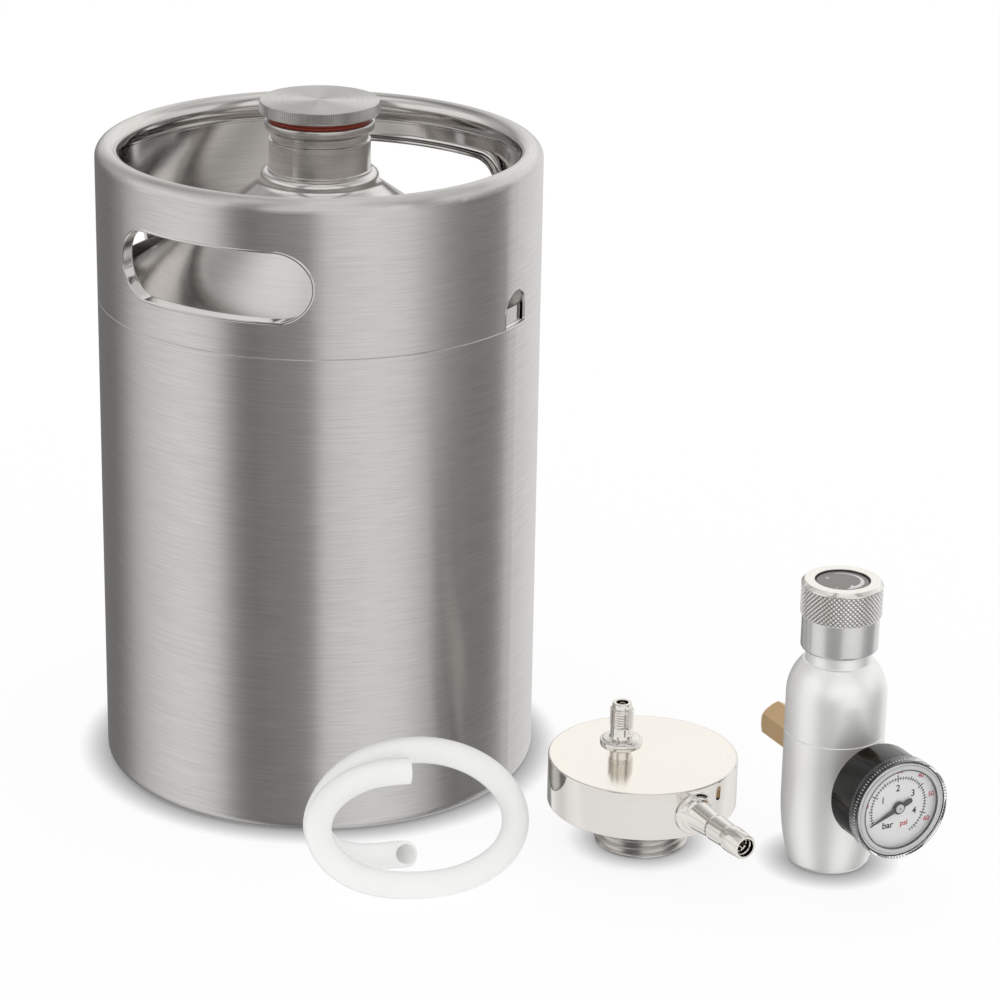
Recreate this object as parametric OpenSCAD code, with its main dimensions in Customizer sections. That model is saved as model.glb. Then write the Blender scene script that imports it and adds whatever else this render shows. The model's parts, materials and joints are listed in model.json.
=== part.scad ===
// Mini keg beer dispenser: a stainless keg with its screw cap, and beside it
// the dispensing head, the pressure regulator with its gauge, and the beer hose.
// The origin is on the keg's axis, at the floor. The keg's front hand slot is at -Y.

/* [Keg body] */
// Outer diameter of the keg
keg_d = 178; // [160:1:220]
// Height of the body, from the floor to the seam
body_h = 198; // [150:1:280]
// Thickness of the body's sheet
sheet_t = 1; // [0.6:0.1:1.6]
// Outer radius of the bottom edge
knuckle_r = 4; // [3:0.5:7]
// Width of the turned-in foot that the keg stands on
foot_w = 7; // [5:0.5:12]
// Rise of the pressed bottom
dish_rise = 9; // [4:0.5:14]
// Depth of the fine groove at a welded or screwed seam
seam_groove = 0.3; // [0.1:0.1:0.6]

/* [Collar] */
// Height of the collar, from the seam to the top of the rim
collar_h = 62; // [54:1:80]
// Thickness of the collar's sheet
collar_t = 1.2; // [0.8:0.1:1.8]
// Diameter of the rolled rim
rim_d = 9.7; // [7:0.1:13]
// Width of a hand slot, measured straight across
slot_w = 84.4; // [60:0.2:100]
// Height of a hand slot
slot_h = 27.2; // [22:0.2:32]
// Height of a hand slot's lower edge above the seam
slot_rise = 14.2; // [10:0.2:17]
// Depth of the flange turned in round a hand slot
slot_flange = 5; // [3:0.5:8]
// Width of a drain notch
notch_w = 16.4; // [8:0.2:24]
// Height of a drain notch above the seam
notch_h = 14.5; // [9:0.5:20]

/* [Shoulder and neck] */
// Height of the shoulder's cone
cone_h = 46.2; // [30:0.2:50]
// Depth of the shoulder's flange inside the body
cone_skirt = 6; // [3:1:12]
// Diameter of the raised step under the neck
step_d = 47; // [46.5:0.5:60]
// Height of the raised step
step_h = 4.8; // [3.6:0.2:8]
// Inner diameter of the neck, over its thread
neck_bore_d = 37.8; // [32:0.1:40]
// Wall of the neck
neck_wall = 1.4; // [1:0.1:2]
// Height of the neck above the step
neck_h = 20.4; // [18:0.2:30]
// Depth of the neck below the step's top
neck_root = 4; // [2:0.5:8]
// Height of the thickened lip
lip_h = 3.3; // [2:0.1:5]
// How far the lip stands out from the neck
lip_w = 1.6; // [0.6:0.1:2.5]
// Height of the waist under the lip
waist_h = 4.2; // [3:0.1:6]
// Depth of the waist
waist_d = 0.6; // [0.3:0.1:0.8]

/* [Screw cap] */
// Diameter of the cap
cap_d = 48; // [45:0.5:56]
// Thickness of the cap's disc
cap_t = 5; // [4:0.1:7]
// Height of the shoulder between the disc and the seal
cap_shoulder_h = 0.5; // [0.4:0.1:2]
// Height of the seal ring
seal_h = 2.2; // [1.5:0.1:4]
// Depth of the cap's threaded plug below the seal
plug_h = 11.4; // [8:0.2:16]
// Wall of the cap's plug
plug_wall = 3.2; // [2:0.1:5]
// Thickness of the cap over the hollow of its plug
crown_t = 2.8; // [2:0.1:4]
// Radial running clearance of threads and sliding fits
fit = 0.05; // [0.02:0.01:0.09]

/* [Dispensing head] */
// Distance of the head from the keg's axis
head_dist = 159.7; // [150:0.1:175]
// Direction of the head, from +X
head_dir = -6.9; // [-12:0.1:-4]
// Diameter of the head's disc
disc_d = 75; // [62:0.5:80]
// Thickness of the head's disc
disc_t = 19.7; // [19:0.1:24]
// Length of the head's threaded skirt
skirt_h = 17.3; // [12:0.1:22]
// Radial chamfer of the head's edges
edge_c = 0.5; // [0.2:0.1:1]
// Bore for a dip tube in the skirt
dip_bore_d = 8; // [5:0.5:9]
// Depth of the bore for a dip tube
dip_bore_h = 12; // [6:1:15]
// Diameter of the passages for gas and beer
passage_d = 4; // [2.5:0.5:4.5]
// Section diameter of the head's seal ring
head_seal_t = 2; // [1.4:0.1:2.4]
// Depth of the relief behind the thread, where the seal ring sits
seal_relief = 0.6; // [0.3:0.1:1]

/* [Gas post] */
// Distance of the gas post from the middle of the head
post_offset = 14.5; // [10:0.1:15]
// Direction of the gas post, from the hose barb
post_dir = 184; // [150:1:210]
// Diameter of the post's thread
post_thread_d = 9.73; // [9:0.01:11]
// Length of the post's thread
post_thread_h = 8; // [7:0.1:14]
// Diameter of the plain shank under the thread
post_shank_d = 8.9; // [8:0.1:9]
// Length of the plain shank
post_shank_h = 4.4; // [3:0.1:8]
// Diameter of the post's flange
post_flange_d = 17; // [13:0.5:19]
// Thickness of the post's flange
post_flange_t = 2.3; // [1.5:0.1:4]
// Height of the nose above the thread
post_nose_h = 2.3; // [1.5:0.1:4]
// Bore of the post
post_bore_d = 5.8; // [5.6:0.1:6]
// Depth of the post's root in the head
post_root_h = 9; // [6:0.5:10]
// Diameter of the check valve's ball
ball_d = 4.6; // [4:0.1:5.2]
// Bore of the check valve's seat
seat_bore_d = 3; // [2:0.1:3.4]
// Travel of the check valve's ball
ball_travel = 1.5; // [0.8:0.1:2.5]

/* [Hose barb] */
// Direction of the barb, from +X
barb_dir = -32; // [-60:1:10]
// Length of the barb outside the head
barb_l = 35; // [28:0.5:44]
// Diameter of the barb's flange
barb_flange_d = 16.8; // [13:0.2:18]
// Diameter of the barb at its flange
barb_root_d = 10.8; // [10:0.1:12]
// Diameter of the barb's neck
barb_neck_d = 9.7; // [9:0.1:9.9]
// Diameter of the barb's ridges
barb_ridge_d = 10.4; // [10:0.1:11.4]
// Diameter of the barb's tip
barb_tip_d = 9; // [8.4:0.1:9.3]
// Bore of the barb
barb_bore_d = 7.2; // [5:0.1:7.4]
// Depth of the barb's thread in the head
barb_root_l = 9; // [6:0.5:12]

/* [Regulator body] */
// Distance of the regulator from the keg's axis
reg_dist = 230.5; // [215:0.5:260]
// Direction of the regulator, from +X
reg_dir = 0.4; // [-4:0.1:8]
// Diameter of the regulator
reg_d = 39.2; // [36:0.2:44]
// Height of the body's seam
reg_seam_z = 56; // [54:0.5:62]
// Radius of the long curve in to the base
reg_taper_r = 102; // [80:1:200]
// Height at which the curve in to the base starts
reg_taper_h = 28; // [18:1:30]
// Radius of the body's bottom edge
reg_edge_r = 2; // [1:0.5:3]
// Diameter of the thread for a gas cartridge
inlet_d = 9.52; // [9:0.02:11]
// Length of the cartridge's thread
inlet_h = 10; // [7:0.5:12]
// Height of the gauge and outlet above the floor
port_z = 42.5; // [42:0.5:43]
// Bore that the piston slides in
piston_bore_d = 22; // [18:0.5:24]

/* [Bonnet and knob] */
// Height of the bonnet's straight side
bonnet_side_h = 17; // [10:0.5:17.5]
// Radius of the bonnet's shoulder
bonnet_round_r = 10; // [6:0.5:10]
// Diameter of the bonnet's neck
bonnet_neck_d = 25.6; // [24:0.1:28]
// Height of the bonnet's neck top above the seam
bonnet_h = 42; // [39.5:0.5:43]
// Diameter of the knob's smooth skirt
knob_skirt_d = 30; // [29.6:0.2:33]
// Height of the knob's skirt, up to the knurl
knob_skirt_h = 14; // [13.5:0.5:18]
// Diameter over the knob's knurl
knob_d = 31.6; // [31:0.2:36]
// Height of the knurled band
knurl_h = 12.5; // [8:0.5:18]
// Height of the bevel over the knurl
knob_bevel_h = 1.5; // [0.8:0.1:2.5]
// Height of the knob's lower edge above the seam
knob_gap_z = 34.5; // [33:0.5:36]
// Diameter of the label in the knob's top
label_d = 21.2; // [14:0.2:26]
// Depth of the label's recess
label_depth = 0.8; // [0.5:0.1:1.5]
// Diameter of the adjusting screw
screw_d = 10; // [8:0.5:11]
// Turns of the knob from closed to full pressure
knob_turns = 3; // [1:1:3]
// Pitch of the adjusting screw
screw_pitch = 1.5; // [1:0.25:1.5]

/* [Outlet] */
// Width of the outlet nut across its flats
nut_af = 14; // [13:0.5:17]
// Length of the outlet nut
nut_l = 18; // [16:0.5:22]
// Distance of the nut's mouth from the regulator's axis
nut_reach = 43; // [42:0.1:54]
// Diameter of the outlet's stem
stem_d = 6; // [5:0.2:7]
// Diameter of the gas passages
port_d = 3; // [2:0.1:3.2]

/* [Gauge] */
// Direction of the gauge, from +X
gauge_dir = -36; // [-50:1:-10]
// Diameter of the gauge's case
case_d = 38.4; // [34:0.2:42]
// Distance of the case's back from the regulator's axis
case_back = 28.8; // [27.5:0.1:34]
// Depth of the case
case_l = 20; // [18.5:0.5:26]
// Wall of the case
case_t = 1.2; // [0.8:0.1:2]
// Diameter of the clear lens cap
lens_d = 40.2; // [39.8:0.2:44]
// Length of the lens cap
lens_l = 6.5; // [5:0.5:8]
// Thickness of the lens cap's front
lens_t = 1.6; // [1:0.1:2]
// Inner diameter of the lens cap's ring, which holds the dial
dial_view_d = 31.8; // [26:0.2:32.4]
// Thickness of the dial
dial_t = 0.6; // [0.4:0.1:1]
// Gap from the dial to the lens
dial_gap = 2.4; // [2.2:0.1:4]
// Length of the needle's pointer
needle_l = 13.5; // [9:0.5:14]
// Direction of the needle at zero, from the dial's right
needle_zero = 204; // [190:1:230]
// Teeth on the pinion
pinion_teeth = 10; // [8:1:12]
// Teeth that the whole sector gear would have
sector_teeth = 60; // [50:10:60]
// Module of the movement's teeth
tooth_module = 0.3; // [0.24:0.02:0.32]
// Length of the sector gear's tail
tail_l = 4; // [3:0.2:5]

/* [Hose] */
// Outer diameter of the hose
hose_d = 10.6; // [9:0.1:11]
// Bore of the hose
hose_bore_d = 7.6; // [6:0.1:8.4]
// Lean of the hose's loop on the keg
hose_lean = 28; // [26:0.5:31]

/* [Hidden] */
$fn = 96;
eps = 0.01;
steel = [0.74, 0.74, 0.73];
satin = [0.82, 0.82, 0.81];
brass = [0.72, 0.58, 0.35];

keg_r = keg_d / 2;
inner_r = keg_r - sheet_t;
dish_r = keg_r - knuckle_r - foot_w - 1;
rim_r = rim_d / 2;
rim_z = body_h + collar_h - rim_r;
slot_z = body_h + slot_rise + slot_h / 2;
step_z = body_h + cone_h + step_h;
lip_z = step_z + neck_h;
neck_bore_r = neck_bore_d / 2;
neck_r = neck_bore_r + neck_wall;
thread_r = neck_bore_r - fit;
seal_r = neck_r - 0.3;
cap_z = lip_z + seal_h;

head_pos = [head_dist * cos(head_dir), head_dist * sin(head_dir), 0];
disc_top = skirt_h + disc_t;
barb_z = skirt_h + disc_t / 2;
post_flange_z = disc_top + post_flange_t;
post_thread_z = post_flange_z + post_shank_h;
post_top = post_thread_z + post_thread_h + post_nose_h;
post_root_r = post_thread_d / 2;
post_root_z = disc_top - post_root_h;
seat_z = post_thread_z + 2;
ball_z = seat_z - sqrt(pow(ball_d / 2, 2) - pow(seat_bore_d / 2, 2)) - 0.03;

reg_pos = [reg_dist * cos(reg_dir), reg_dist * sin(reg_dir), 0];
reg_r = reg_d / 2;
bush_r = inlet_d / 2 - 0.6;
bush_z = inlet_h + 1.5;
bush_top = bush_z + 4.5;
chamber_z = bush_top + 4;
chamber_r = 5;
seat_face = chamber_z + 10;
insert_r = 6;
piston_floor = seat_face + 5.5;
gasket_z = reg_seam_z - 5;
spigot_r = piston_bore_d / 2 + 4;
gasket_t = 0.5;
piston_r = piston_bore_d / 2 - fit;
piston_top = gasket_z - 0.5;
piston_h = 5;
piston_travel = 0.6;
spring_top = reg_seam_z + 24.5;
button_t = 3;
bonnet_roof = reg_seam_z + 29.5;
bonnet_top = reg_seam_z + bonnet_h;
knob_z = reg_seam_z + knob_gap_z;
knurl_z = knob_z + knob_skirt_h;
knob_top = knurl_z + knurl_h + knob_bevel_h;
knob_travel = knob_turns * screw_pitch;
knob_bore_r = bonnet_neck_d / 2 + 0.5;
knob_roof = max(bonnet_top + knob_travel + 0.5, knurl_z - 1.5);
screw_r = screw_d / 2;
screw_top = knob_top - label_depth - 4.5;
spring_r = 8;
spring_wire_r = 1;

port_r = port_d / 2;
stem_r = stem_d / 2;
nut_r = post_thread_d / 2 + 0.035;
nut_back = nut_reach - nut_l;
nut_pocket = nut_back + 4.7;
stem_flange_t = 2.5;
stem_face = nut_pocket + stem_flange_t;
washer_t = 1.5;
port_wall = piston_bore_d / 2 + 2;

stem_thread_r = 4.9;
stem_neck_r = 4.8;
case_r = case_d / 2;
case_front = case_back + case_l;
lens_back = case_front + 0.1;
lens_front = lens_back + lens_t;
dial_z = lens_back - dial_gap - dial_t;
needle_z = dial_z + dial_t + 0.7;
plate_t = 1;
tube_z = case_back + case_t + 0.8;
tube_h = 4;
frame_z = tube_z + tube_h + 0.6;
gear_z = frame_z + plate_t + 1.1;
gear_t = 1.1;
front_plate_z = gear_z + gear_t + 1.6;
pitch_r = tooth_module * pinion_teeth / 2;
sector_r = tooth_module * sector_teeth / 2;
sector_drop = pitch_r + sector_r;
sector_step = 360 / sector_teeth;
tube_r = case_r - case_t - 4;
tube_tip_dir = -35;
tube_turn = 280;
tube_tip = tube_r * [cos(tube_tip_dir), sin(tube_tip_dir)];
tail_dir = -38;
tail_tip = [tail_l * cos(tail_dir), tail_l * sin(tail_dir) - sector_drop];
link_z = gear_z + gear_t + 0.15;

// The loop leans on the keg: a point is [across, up the slope, off the slope], in mm.
hose_start = [108.6, -106.1];
hose_across = 37.6;
hose_route = [[0, 51.5, 4.5], [-8, 51, 5], [-16, 49.5, 5.5], [-24, 46, 5.8], [-31, 41, 5.8],
    [-36.5, 34, 5.6], [-39, 26, 4.6], [-37.5, 18, 3], [-33, 11, 1.5], [-26, 5.5, 0.5], [-17, 2, 0],
    [-7, 0.3, 0], [4, 0.2, 0], [15, 2.3, 0], [25, 7, 0], [33, 14, 0], [38, 23, 0], [39.5, 33, 0],
    [37.5, 43, 0], [32, 52, 0], [24, 59, 0], [14, 63.5, 0], [3, 65, 0], [-8, 64, -0.5],
    [-18.5, 60.5, -1.5], [-27.5, 54.5, -3.2], [-34, 46.5, -5], [-37.5, 38, -6.2], [-37, 30, -7],
    [-31.5, 23.5, -7.5], [-24, 20.5, -7.3], [-16.5, 19, -6], [-9.5, 17.5, -3.5], [-3.5, 15, 0]];
hose_sides = 12;

// A plain ring between two heights
module tube(outer_r, hole_r, low, high) {
    translate([0, 0, low])
        difference() {
            cylinder(r = outer_r, h = high - low);
            translate([0, 0, -1])
                cylinder(r = hole_r, h = high - low + 2);
        }
}

// A plain round bar between two heights
module bar(radius, low, high) {
    translate([0, 0, low])
        cylinder(r = radius, h = high - low);
}

// A bar whose ends are chamfered
module chamfered_bar(radius, low, high, chamfer) {
    rotate_extrude()
        polygon([[0, low], [radius - chamfer, low], [radius, low + chamfer], [radius, high - chamfer],
            [radius - chamfer, high], [0, high]]);
}

// The outline of a slot with round ends
module stadium(width, height) {
    square([width - height, height], center = true);
    for (side = [-1, 1])
        translate([side * (width - height) / 2, 0])
            circle(d = height);
}

module on_head() {
    translate(head_pos)
        children();
}

// The head's hose barb lies along this frame's Z
module on_barb() {
    on_head()
        translate([0, 0, barb_z])
            rotate([0, 0, barb_dir])
                rotate([0, 90, 0])
                    children();
}

module on_post() {
    on_head()
        rotate([0, 0, barb_dir + post_dir])
            translate([post_offset, 0, 0])
                children();
}

module on_regulator() {
    translate(reg_pos)
        children();
}

// The gauge faces along this frame's Z, with its dial upright
module on_gauge() {
    on_regulator()
        translate([0, 0, port_z])
            rotate([0, 0, gauge_dir])
                rotate([90, 0, 90])
                    children();
}

// The outlet points away from the gauge, along this frame's Z
module on_outlet() {
    on_regulator()
        translate([0, 0, port_z])
            rotate([0, 0, gauge_dir + 180])
                rotate([90, 0, 90])
                    children();
}

// Triangles for a tube whose rings of points follow each other in one list
function skin(rings, sides) = [
    for (ring = [0:rings - 2], side = [0:sides - 1], half = [0, 1])
        let (a = ring * sides + side, b = ring * sides + (side + 1) % sides, c = a + sides, d = b + sides)
            half == 0 ? [a, b, d] : [a, d, c]];
function start_cap(sides) = [for (side = [1:sides - 2]) [0, side + 1, side]];
function end_cap(rings, sides) =
    let (first = (rings - 1) * sides) [for (side = [1:sides - 2]) [first, first + side, first + side + 1]];

// A coil spring of round wire that stands between two heights
module coil_spring(mean_r, wire_r, low, high, turns) {
    sides = 6;
    steps = 12;
    rings = turns * steps + 1;
    rise = high - low - 2 * wire_r;
    points = [
        for (ring = [0:rings - 1], side = [0:sides - 1])
            let (turn = 360 * ring / steps, around = 360 * side / sides,
                out = mean_r + wire_r * cos(around))
                [out * cos(turn), out * sin(turn),
                    low + wire_r + rise * ring / (rings - 1) + wire_r * sin(around)]];
    polyhedron(points, concat(skin(rings, sides), start_cap(sides), end_cap(rings, sides)));
}

module vessel_shell() {
    color(steel)
        rotate_extrude()
            difference() {
                union() {
                    translate([0, knuckle_r])
                        square([keg_r, body_h - knuckle_r]);
                    square([keg_r - knuckle_r, knuckle_r + eps]);
                    translate([keg_r - knuckle_r, knuckle_r])
                        circle(knuckle_r);
                }
                translate([0, knuckle_r])
                    square([inner_r, body_h]);
                translate([0, sheet_t])
                    square([keg_r - knuckle_r, knuckle_r]);
                translate([keg_r - knuckle_r, knuckle_r])
                    circle(knuckle_r - sheet_t);
                translate([0, -1])
                    square([keg_r - knuckle_r - foot_w, knuckle_r + 2]);
                translate([keg_r, body_h])
                    rotate(45)
                        square(seam_groove * sqrt(2), center = true);
            }
}

module bottom_dish() {
    dome_r = (pow(dish_r, 2) + pow(dish_rise, 2)) / (2 * dish_rise);
    color(steel)
        rotate_extrude()
            union() {
                intersection() {
                    translate([0, sheet_t + dish_rise - dome_r])
                        difference() {
                            circle(dome_r + sheet_t, $fn = 256);
                            circle(dome_r, $fn = 256);
                        }
                    translate([0, sheet_t])
                        square([dish_r, dish_rise + 2 * sheet_t]);
                }
                translate([dish_r - 0.5, sheet_t])
                    square([foot_w + 1, sheet_t]);
            }
}

// Outline of the shoulder and the step on it, for its outer or its inner face
module shoulder_outline(rim, base_z, cone_z, step_r, top_z, round_r) {
    polygon([[0, base_z], [rim, base_z], [rim, cone_z - cone_h], [step_r, cone_z], [0, cone_z]]);
    translate([0, cone_z - eps])
        square([step_r, top_z - round_r - cone_z + eps]);
    translate([0, top_z - round_r - eps])
        square([step_r - round_r, round_r + eps]);
    translate([step_r - round_r, top_z - round_r])
        circle(round_r);
}

module shoulder_cone() {
    rim = inner_r - fit;
    step_r = step_d / 2;
    slope = atan2(cone_h, rim - step_r);
    inside_z = body_h + cone_h - sheet_t / cos(slope) + sheet_t * tan(slope);
    color(steel)
        rotate_extrude()
            difference() {
                shoulder_outline(rim, body_h - cone_skirt, body_h + cone_h, step_r, step_z, 3);
                shoulder_outline(rim - sheet_t, body_h - cone_skirt - 1, inside_z, step_r - sheet_t,
                    step_z - sheet_t, 2);
                translate([-1, body_h - cone_skirt - 2])
                    square([1 + neck_r + fit, step_z]);
            }
}

module neck() {
    waist_top = lip_z - lip_h;
    waist_low = waist_top - waist_h;
    color(steel)
        rotate_extrude()
            polygon([[neck_bore_r, step_z - neck_root], [neck_r, step_z - neck_root], [neck_r, waist_low],
                [neck_r - waist_d, waist_low + waist_d], [neck_r - waist_d, waist_top - waist_d - lip_w],
                [neck_r + lip_w, waist_top], [neck_r + lip_w, lip_z - 0.4], [neck_r + lip_w - 0.4, lip_z],
                [neck_bore_r + 0.4, lip_z], [neck_bore_r, lip_z - 0.4]]);
}

// A straight cut through the collar's front, with the outline of a hand slot
module slot_prism(margin) {
    translate([0, -keg_r / 2, slot_z])
        rotate([90, 0, 0])
            linear_extrude(height = keg_r)
                stadium(slot_w + 2 * margin, slot_h + 2 * margin);
}

module collar() {
    color(steel)
        difference() {
            union() {
                rotate_extrude()
                    difference() {
                        union() {
                            translate([keg_r - collar_t, body_h])
                                square([collar_t, rim_z - body_h]);
                            difference() {
                                translate([keg_r - rim_r, rim_z])
                                    circle(rim_r);
                                translate([keg_r - rim_r, rim_z - rim_r - 1])
                                    square([rim_r + 1, rim_r + 1]);
                            }
                        }
                        translate([keg_r - rim_r, rim_z])
                            circle(rim_r - collar_t);
                        translate([keg_r, body_h])
                            rotate(45)
                                square(seam_groove * sqrt(2), center = true);
                    }
                for (turn = [0, 180])
                    rotate([0, 0, turn])
                        intersection() {
                            difference() {
                                slot_prism(collar_t);
                                slot_prism(0);
                            }
                            tube(keg_r - collar_t / 2, keg_r - slot_flange, body_h, rim_z);
                        }
            }
            for (turn = [0, 180])
                rotate([0, 0, turn])
                    slot_prism(0);
            for (turn = [0, 180])
                rotate([0, 0, turn])
                    translate([keg_r / 2, 0, body_h])
                        rotate([90, 0, 90])
                            linear_extrude(height = keg_r) {
                                translate([-notch_w / 2, -1])
                                    square([notch_w, notch_h - notch_w / 2 + 1]);
                                translate([0, notch_h - notch_w / 2])
                                    circle(d = notch_w);
                            }
        }
}

module screw_cap() {
    rim = 0.5;
    disc_z = cap_z + cap_shoulder_h;
    hollow_z = disc_z + cap_t - crown_t;
    color(steel)
        rotate_extrude()
            polygon([[0, hollow_z], [thread_r - plug_wall, hollow_z], [thread_r - plug_wall, lip_z - plug_h],
                [thread_r - rim, lip_z - plug_h], [thread_r, lip_z - plug_h + rim], [thread_r, cap_z],
                [seal_r + rim, cap_z], [seal_r + rim, disc_z], [cap_d / 2 - rim, disc_z],
                [cap_d / 2, disc_z + rim], [cap_d / 2, disc_z + cap_t - rim],
                [cap_d / 2 - rim, disc_z + cap_t], [0, disc_z + cap_t]]);
}

module cap_seal() {
    color([0.55, 0.18, 0.13])
        tube(seal_r, thread_r + 2 * fit, lip_z, cap_z);
}

module head_body() {
    color(satin)
        difference() {
            on_head() {
                chamfered_bar(disc_d / 2, skirt_h, disc_top, edge_c);
                chamfered_bar(thread_r, 0, skirt_h + 1, edge_c);
            }
            on_head() {
                bar(dip_bore_d / 2, -1, dip_bore_h);
                bar(passage_d / 2, dip_bore_h - eps, barb_z);
                tube(thread_r + 1, thread_r - seal_relief, skirt_h - head_seal_t - 0.3, skirt_h);
            }
            on_post() {
                bar(passage_d / 2, -1, post_root_z + eps);
                bar(post_root_r + fit, post_root_z, disc_top + 1);
            }
            on_barb() {
                bar(passage_d / 2, 0, disc_d / 2 - barb_root_l);
                bar(barb_neck_d / 2 + fit, disc_d / 2 - barb_root_l - eps, disc_d / 2 + 1);
                bar(barb_flange_d / 2 + 0.3, disc_d / 2 - 1.2, disc_d / 2 + 1);
            }
        }
}

module head_seal() {
    color([0.1, 0.1, 0.1])
        on_head()
            rotate_extrude()
                translate([thread_r - seal_relief + head_seal_t / 2 + 0.02, skirt_h - head_seal_t / 2])
                    circle(d = head_seal_t, $fn = 32);
}

module gas_post() {
    thread_top = post_thread_z + post_thread_h;
    shank_r = post_shank_d / 2;
    thread_radius = post_thread_d / 2;
    color(steel)
        on_post()
            difference() {
                union() {
                    bar(post_root_r, post_root_z, disc_top + eps);
                    chamfered_bar(post_flange_d / 2, disc_top, post_flange_z, 0.4);
                    bar(shank_r, post_flange_z - eps, post_thread_z + eps);
                    bar(thread_radius, post_thread_z, thread_top);
                    translate([0, 0, thread_top - eps])
                        cylinder(r1 = thread_radius, r2 = thread_radius - 1, h = 0.8 + eps);
                    chamfered_bar(thread_radius - 1, thread_top, post_top, 0.5);
                }
                bar(post_bore_d / 2, seat_z + 1.5, post_top + 1);
                bar(seat_bore_d / 2, seat_z - 1, seat_z + 2);
                bar(post_bore_d / 2, post_root_z - 1, seat_z);
            }
}

module check_valve_ball() {
    color(satin)
        on_post()
            translate([0, 0, ball_z])
                sphere(d = ball_d, $fn = 48);
}

module check_valve_spring() {
    color(satin)
        on_post()
            coil_spring(2, 0.3, post_root_z + 0.05, ball_z - ball_d / 2 + 0.25, 6);
}

module hose_barb() {
    reach = disc_d / 2;
    root = barb_root_d / 2;
    slim = barb_neck_d / 2;
    ridge = barb_ridge_d / 2;
    tip = barb_tip_d / 2;
    color(steel)
        on_barb()
            difference() {
                rotate_extrude()
                    polygon([[0, reach - barb_root_l], [slim, reach - barb_root_l], [slim, reach - 1.2],
                        [barb_flange_d / 2, reach - 1.2], [barb_flange_d / 2, reach + 1],
                        [root + 0.6, reach + 3], [root, reach + 3.4], [slim, reach + 0.4 * barb_l],
                        [ridge, reach + 0.44 * barb_l], [slim, reach + 0.68 * barb_l],
                        [ridge, reach + 0.73 * barb_l], [ridge, reach + 0.8 * barb_l],
                        [tip + 0.2, reach + barb_l - 0.4], [tip, reach + barb_l], [0, reach + barb_l]]);
                bar(barb_bore_d / 2, 0, reach + barb_l + 1);
            }
}

// The regulator's outside below its seam, drawn in to the base
module lower_outline() {
    intersection() {
        square([reg_r, reg_seam_z]);
        union() {
            translate([0, reg_taper_h])
                square([reg_r, reg_seam_z]);
            intersection() {
                translate([reg_r - reg_taper_r, reg_taper_h])
                    circle(reg_taper_r, $fn = 256);
                square([reg_r, reg_taper_h + eps]);
            }
        }
    }
}

module regulator_body() {
    base_r = reg_r - reg_taper_r + sqrt(pow(reg_taper_r, 2) - pow(reg_taper_h, 2));
    color(satin)
        difference() {
            on_regulator()
                rotate_extrude()
                    difference() {
                        lower_outline();
                        translate([base_r - reg_edge_r, -eps])
                            polygon([[0, 0], [reg_edge_r + 1, 0], [reg_edge_r + 1, reg_edge_r + 0.5],
                                [0.7 * reg_edge_r + 0.1, 0.3 * reg_edge_r]]);
                        translate([reg_r, reg_seam_z])
                            rotate(45)
                                square(seam_groove * sqrt(2), center = true);
                    }
            on_regulator() {
                bar(inlet_d / 2, -1, inlet_h);
                bar(bush_r, inlet_h - eps, bush_top);
                bar(port_r, bush_top - eps, chamber_z + eps);
                bar(chamber_r, chamber_z, seat_face + eps);
                bar(insert_r, seat_face, piston_floor + eps);
                bar(piston_bore_d / 2, piston_floor, gasket_z + eps);
                bar(spigot_r, gasket_z, reg_seam_z + 1);
            }
            on_gauge() {
                bar(port_r, 0, port_wall);
                bar(stem_thread_r + fit, port_wall - eps, reg_r + 1);
                bar(7.2, reg_r - 1.4, reg_r + 1);
            }
            on_outlet() {
                bar(port_r, 0, port_wall);
                bar(stem_thread_r + fit, port_wall - eps, reg_r + 1);
                bar(6.2, reg_r - 1, reg_r + 1);
            }
        }
}

// The bonnet's outside: straight side, round shoulder and a small hollow in to the neck
module bonnet_outline() {
    neck_radius = bonnet_neck_d / 2;
    hollow_r = 3;
    side_z = reg_seam_z + bonnet_side_h;
    ball_x = reg_r - bonnet_round_r;
    reach = bonnet_round_r + hollow_r;
    hollow_x = neck_radius + hollow_r;
    hollow_z = side_z + sqrt(pow(reach, 2) - pow(hollow_x - ball_x, 2));
    translate([0, reg_seam_z])
        square([reg_r, bonnet_side_h]);
    translate([0, side_z - eps])
        square([ball_x, bonnet_round_r]);
    translate([ball_x, side_z])
        circle(bonnet_round_r);
    translate([0, side_z])
        square([neck_radius, bonnet_top - side_z]);
    difference() {
        polygon([[ball_x, side_z], [hollow_x, hollow_z], [0, hollow_z]]);
        translate([hollow_x, hollow_z])
            circle(hollow_r);
    }
}

module regulator_bonnet() {
    cavity_r = piston_bore_d / 2 - 0.4;
    color(satin)
        on_regulator()
            rotate_extrude()
                difference() {
                    union() {
                        bonnet_outline();
                        translate([0, gasket_z + gasket_t])
                            square([spigot_r - fit, reg_seam_z - gasket_z]);
                    }
                    translate([-1, gasket_z])
                        square([1 + cavity_r, bonnet_roof - gasket_z]);
                    square([screw_r + fit, bonnet_top + 1]);
                    translate([reg_r, reg_seam_z])
                        rotate(45)
                            square(seam_groove * sqrt(2), center = true);
                }
}

module bonnet_gasket() {
    color([0.15, 0.15, 0.15])
        on_regulator()
            tube(spigot_r - 0.2, piston_bore_d / 2 + 0.2, gasket_z, gasket_z + gasket_t);
}

module inlet_seal() {
    color([0.15, 0.15, 0.15])
        on_regulator()
            tube(bush_r - 0.1, 1.8, inlet_h, bush_z);
}

module inlet_bush() {
    color(brass)
        on_regulator()
            tube(bush_r - fit, 1.3, bush_z, bush_top);
}

module pierce_pin() {
    color(steel)
        on_regulator()
            difference() {
                union() {
                    bar(1.25, bush_z - 0.3, bush_top);
                    translate([0, 0, inlet_h + 0.4])
                        cylinder(r1 = 0.7, r2 = 1.25, h = bush_z - inlet_h - 0.7 + eps);
                }
                bar(0.5, inlet_h, bush_top + 1);
            }
}

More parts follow.
